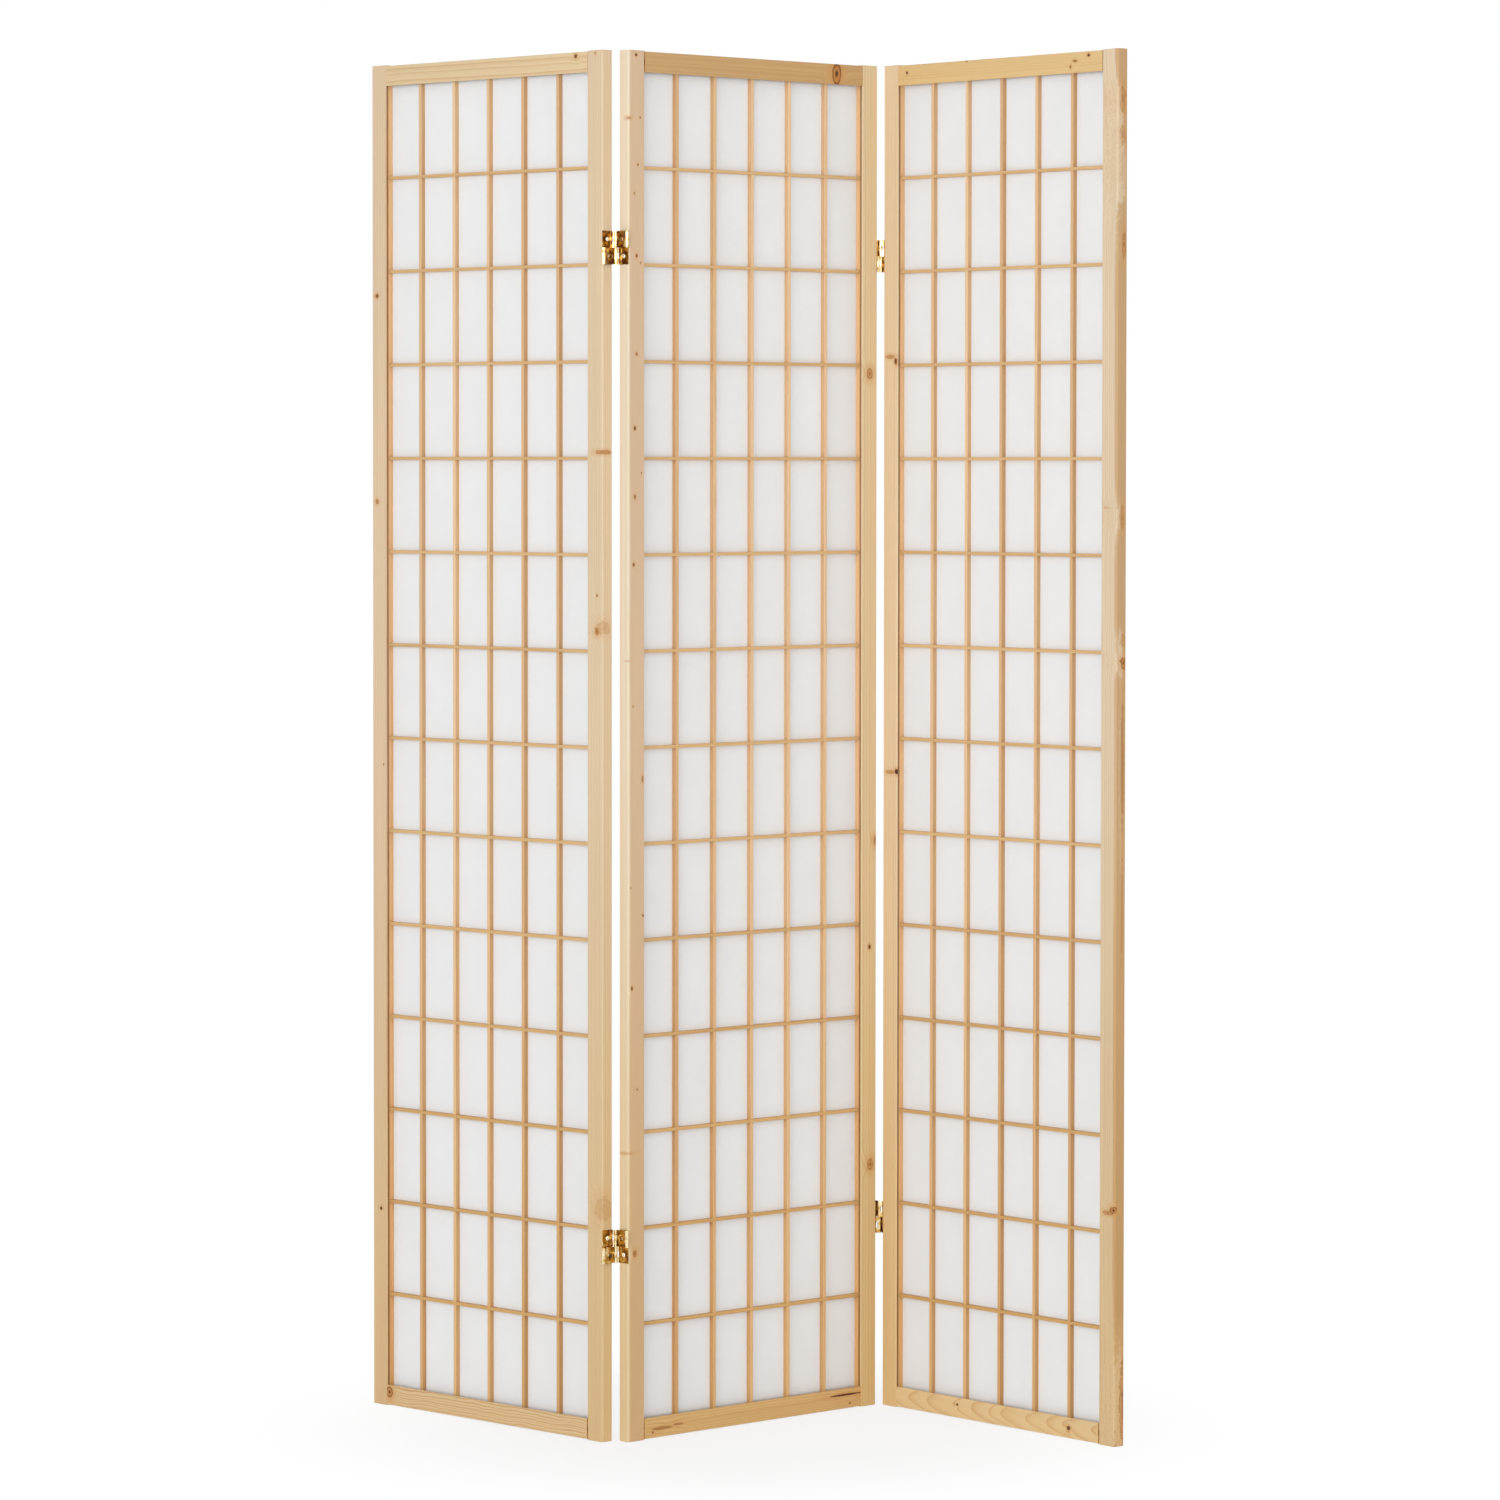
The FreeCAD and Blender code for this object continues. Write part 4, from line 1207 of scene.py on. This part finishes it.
def half_turn_about(axis):
    """Half a turn about the middle of a hinge."""
    return (Matrix.Translation(CENTRE) @ Matrix.Rotation(math.pi, 4, axis)
            @ Matrix.Translation(-CENTRE))


HALF_TURN, FLIP = half_turn_about("Z"), half_turn_about("Y")


def hinge_place(side, near, height):
    """From a hinge part's own frame to the screen's."""
    dx = PANEL_W if near else -2 * HALF_GAP
    return PLACES[side] @ Matrix.Translation((dx, 0, height))


for joint, near, far in JOINTS:
    for level, height in HINGE_HEIGHTS.items():
        hinge = f"{joint}_hinge_{level}"
        for word, side, turn in (("near", near, Matrix()), ("far", far, HALF_TURN)):
            place = hinge_place(side, word == "near", height) @ turn
            make_piece(f"{hinge}_leaf_{word}_brass", leaf_shapes(), place, hinge_brass,
                       BODY_OF[side], [f"{hinge}_leaf_{word}"],
                       dark_reflection=DARK_REFLECTION[hinge])
            screws = [screw_shape(z, draw.uniform(0, 90))
                      for z in (-SCREW_SPACING / 2, SCREW_SPACING / 2)]
            make_piece(f"{hinge}_screws_{word}", screws, place, screw_brass,
                       BODY_OF[side], [])
print("leaves made for", len(DARK_REFLECTION), "hinges")

# %% [markdown]
# In every hinge the upper link rides on the middle panel and the lower one on
# the outer panel, which has the same name as the joint. The two panels turn
# about one line of barrels, at the back in the left joint and in front in the
# right one, and on that line the lower pin too stays with the middle panel.

# %% Links and pins
pins = {side: [] for side in PLACES}
for joint, near, far in JOINTS:
    folds_at_back = joint == "left"
    for level, height in HINGE_HEIGHTS.items():
        hinge = f"{joint}_hinge_{level}"
        upper, lower = [hinge_place(side, side == near, height) for side in ("middle", joint)]
        lower = lower @ FLIP
        for link, side, place in (("a", "middle", upper), ("b", joint, lower)):
            make_piece(f"{hinge}_link_{link}_brass", link_shapes(), place, hinge_brass,
                       BODY_OF[side], [f"{hinge}_link_{link}"],
                       dark_reflection=DARK_REFLECTION[hinge])
        pins["middle"] += [(True, upper), (False, upper), (folds_at_back, upper @ FLIP)]
        pins[joint].append((not folds_at_back, lower))

for side, placed_pins in pins.items():
    shapes = []
    for back, place in placed_pins:
        bm = pin_shape(back)
        bmesh.ops.transform(bm, matrix=place, verts=bm.verts)
        shapes.append(bm)
    make_piece(side + "_hinge_pins_brass", shapes, Matrix(), pin_brass, BODY_OF[side],
               [side + "_hinge_pins"])
    print(side, "pins", len(placed_pins))

# %% [markdown]
# ## Studio
# The background is white for the camera and for reflections only, so that it
# lights nothing. The sky that lights the screen is dimmer and even.

# %% World
SKY_LIGHT = 0.52


def seen_rays(tree):
    """1 for what the camera sees, also in a mirror or through glass, else 0."""
    ray = put(tree, "ShaderNodeLightPath").outputs
    return calc(tree, "MAXIMUM", ray["Is Camera Ray"],
                calc(tree, "MAXIMUM", ray["Is Glossy Ray"], ray["Is Transmission Ray"]))


world = bpy.data.worlds.new("studio")
bpy.context.scene.world = world
world.use_nodes = True
tree = world.node_tree
tree.nodes.clear()
sky = put(tree, "ShaderNodeBackground", {"Color": WHITE, "Strength": SKY_LIGHT})
backdrop = put(tree, "ShaderNodeBackground", {"Color": WHITE, "Strength": 1.0})
mixed = put(tree, "ShaderNodeMixShader", {
    0: seen_rays(tree), 1: sky.outputs[0], 2: backdrop.outputs[0]})
put(tree, "ShaderNodeOutputWorld", {0: mixed.outputs[0]})
print("sky light", SKY_LIGHT)

# %% [markdown]
# The floor is pale and keeps the screen's soft shadow near it. Further out
# the camera sees it fade into the white of the background.

# %% Floor
FLOOR_SIZE, FLOOR_LOWER = 30.0, 0.3 * MM     # metres across; a hair under the feet
FLOOR_PALE = (0.9, 0.91, 0.92, 1)
FADES_FROM, FADES_TO = 0.22, 0.68            # metres from the middle
SHADING_KEPT = 0.23                          # share of its own shading that is seen nearby

floor_paint, tree = new_material("floor_paint")
own = put(tree, "ShaderNodeBsdfDiffuse", {"Color": FLOOR_PALE})
glow = put(tree, "ShaderNodeEmission", {"Color": WHITE, "Strength": 1.0})
from_middle = vector_calc(tree, "LENGTH", object_place(tree))
kept = product(tree, stepped(tree, from_middle, FADES_TO, FADES_FROM), SHADING_KEPT)
amount = calc(tree, "MULTIPLY", seen_rays(tree), calc(tree, "SUBTRACT", 1.0, kept))
surface(tree, put(tree, "ShaderNodeMixShader", {
    0: amount, 1: own.outputs[0], 2: glow.outputs[0]}))

bm = bmesh.new()
bmesh.ops.create_grid(bm, x_segments=1, y_segments=1, size=FLOOR_SIZE / 2)
bmesh.ops.translate(bm, verts=bm.verts, vec=(0, 0, -FLOOR_LOWER))
floor_mesh = bpy.data.meshes.new("floor")
bm.to_mesh(floor_mesh)
bm.free()
floor_mesh.materials.append(floor_paint)
floor = bpy.data.objects.new("floor", floor_mesh)
bpy.context.scene.collection.objects.link(floor)
floor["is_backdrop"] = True
print("floor", FLOOR_SIZE, "m across")

# %% [markdown]
# A large soft lamp stands front left, a weaker one front right, and a third
# behind the screen shines through the paper.

# %% Lamps
AIM = Vector((0, 0, 0.95))


def lamp(name, place, width, power, tint=(1, 1, 1)):
    """Square lamp that faces the screen's middle and that the camera does not see."""
    data = bpy.data.lights.new(name, "AREA")
    data.shape = "SQUARE"
    data.size = width
    data.energy = power
    data.color = tint
    made = bpy.data.objects.new(name, data)
    bpy.context.scene.collection.objects.link(made)
    made.location = place
    made.rotation_mode = "QUATERNION"
    made.rotation_quaternion = (AIM - Vector(place)).to_track_quat("-Z", "Y")
    made.visible_camera = False
    return made


lamps = [lamp("key", (-2.0, -5.0, 1.7), 3.0, 120, (0.97, 0.985, 1.0)),
         lamp("fill", (3.6, -4.2, 1.6), 2.8, 43, (1.0, 0.985, 0.96)),
         lamp("from_behind", (0.4, 4.4, 2.4), 3.0, 50)]
print("lamps:", ", ".join(made.name for made in lamps))

# %% [markdown]
# ## Measure and finish
# The boxes of the finished pieces and of the solids that they stand for are
# printed side by side.

# %% Measure and finish
low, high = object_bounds()
for label, (a, b) in (("solid", solid_box), ("visual", (low, high))):
    print(label, [round(v, 4) for v in (*a, *b)])
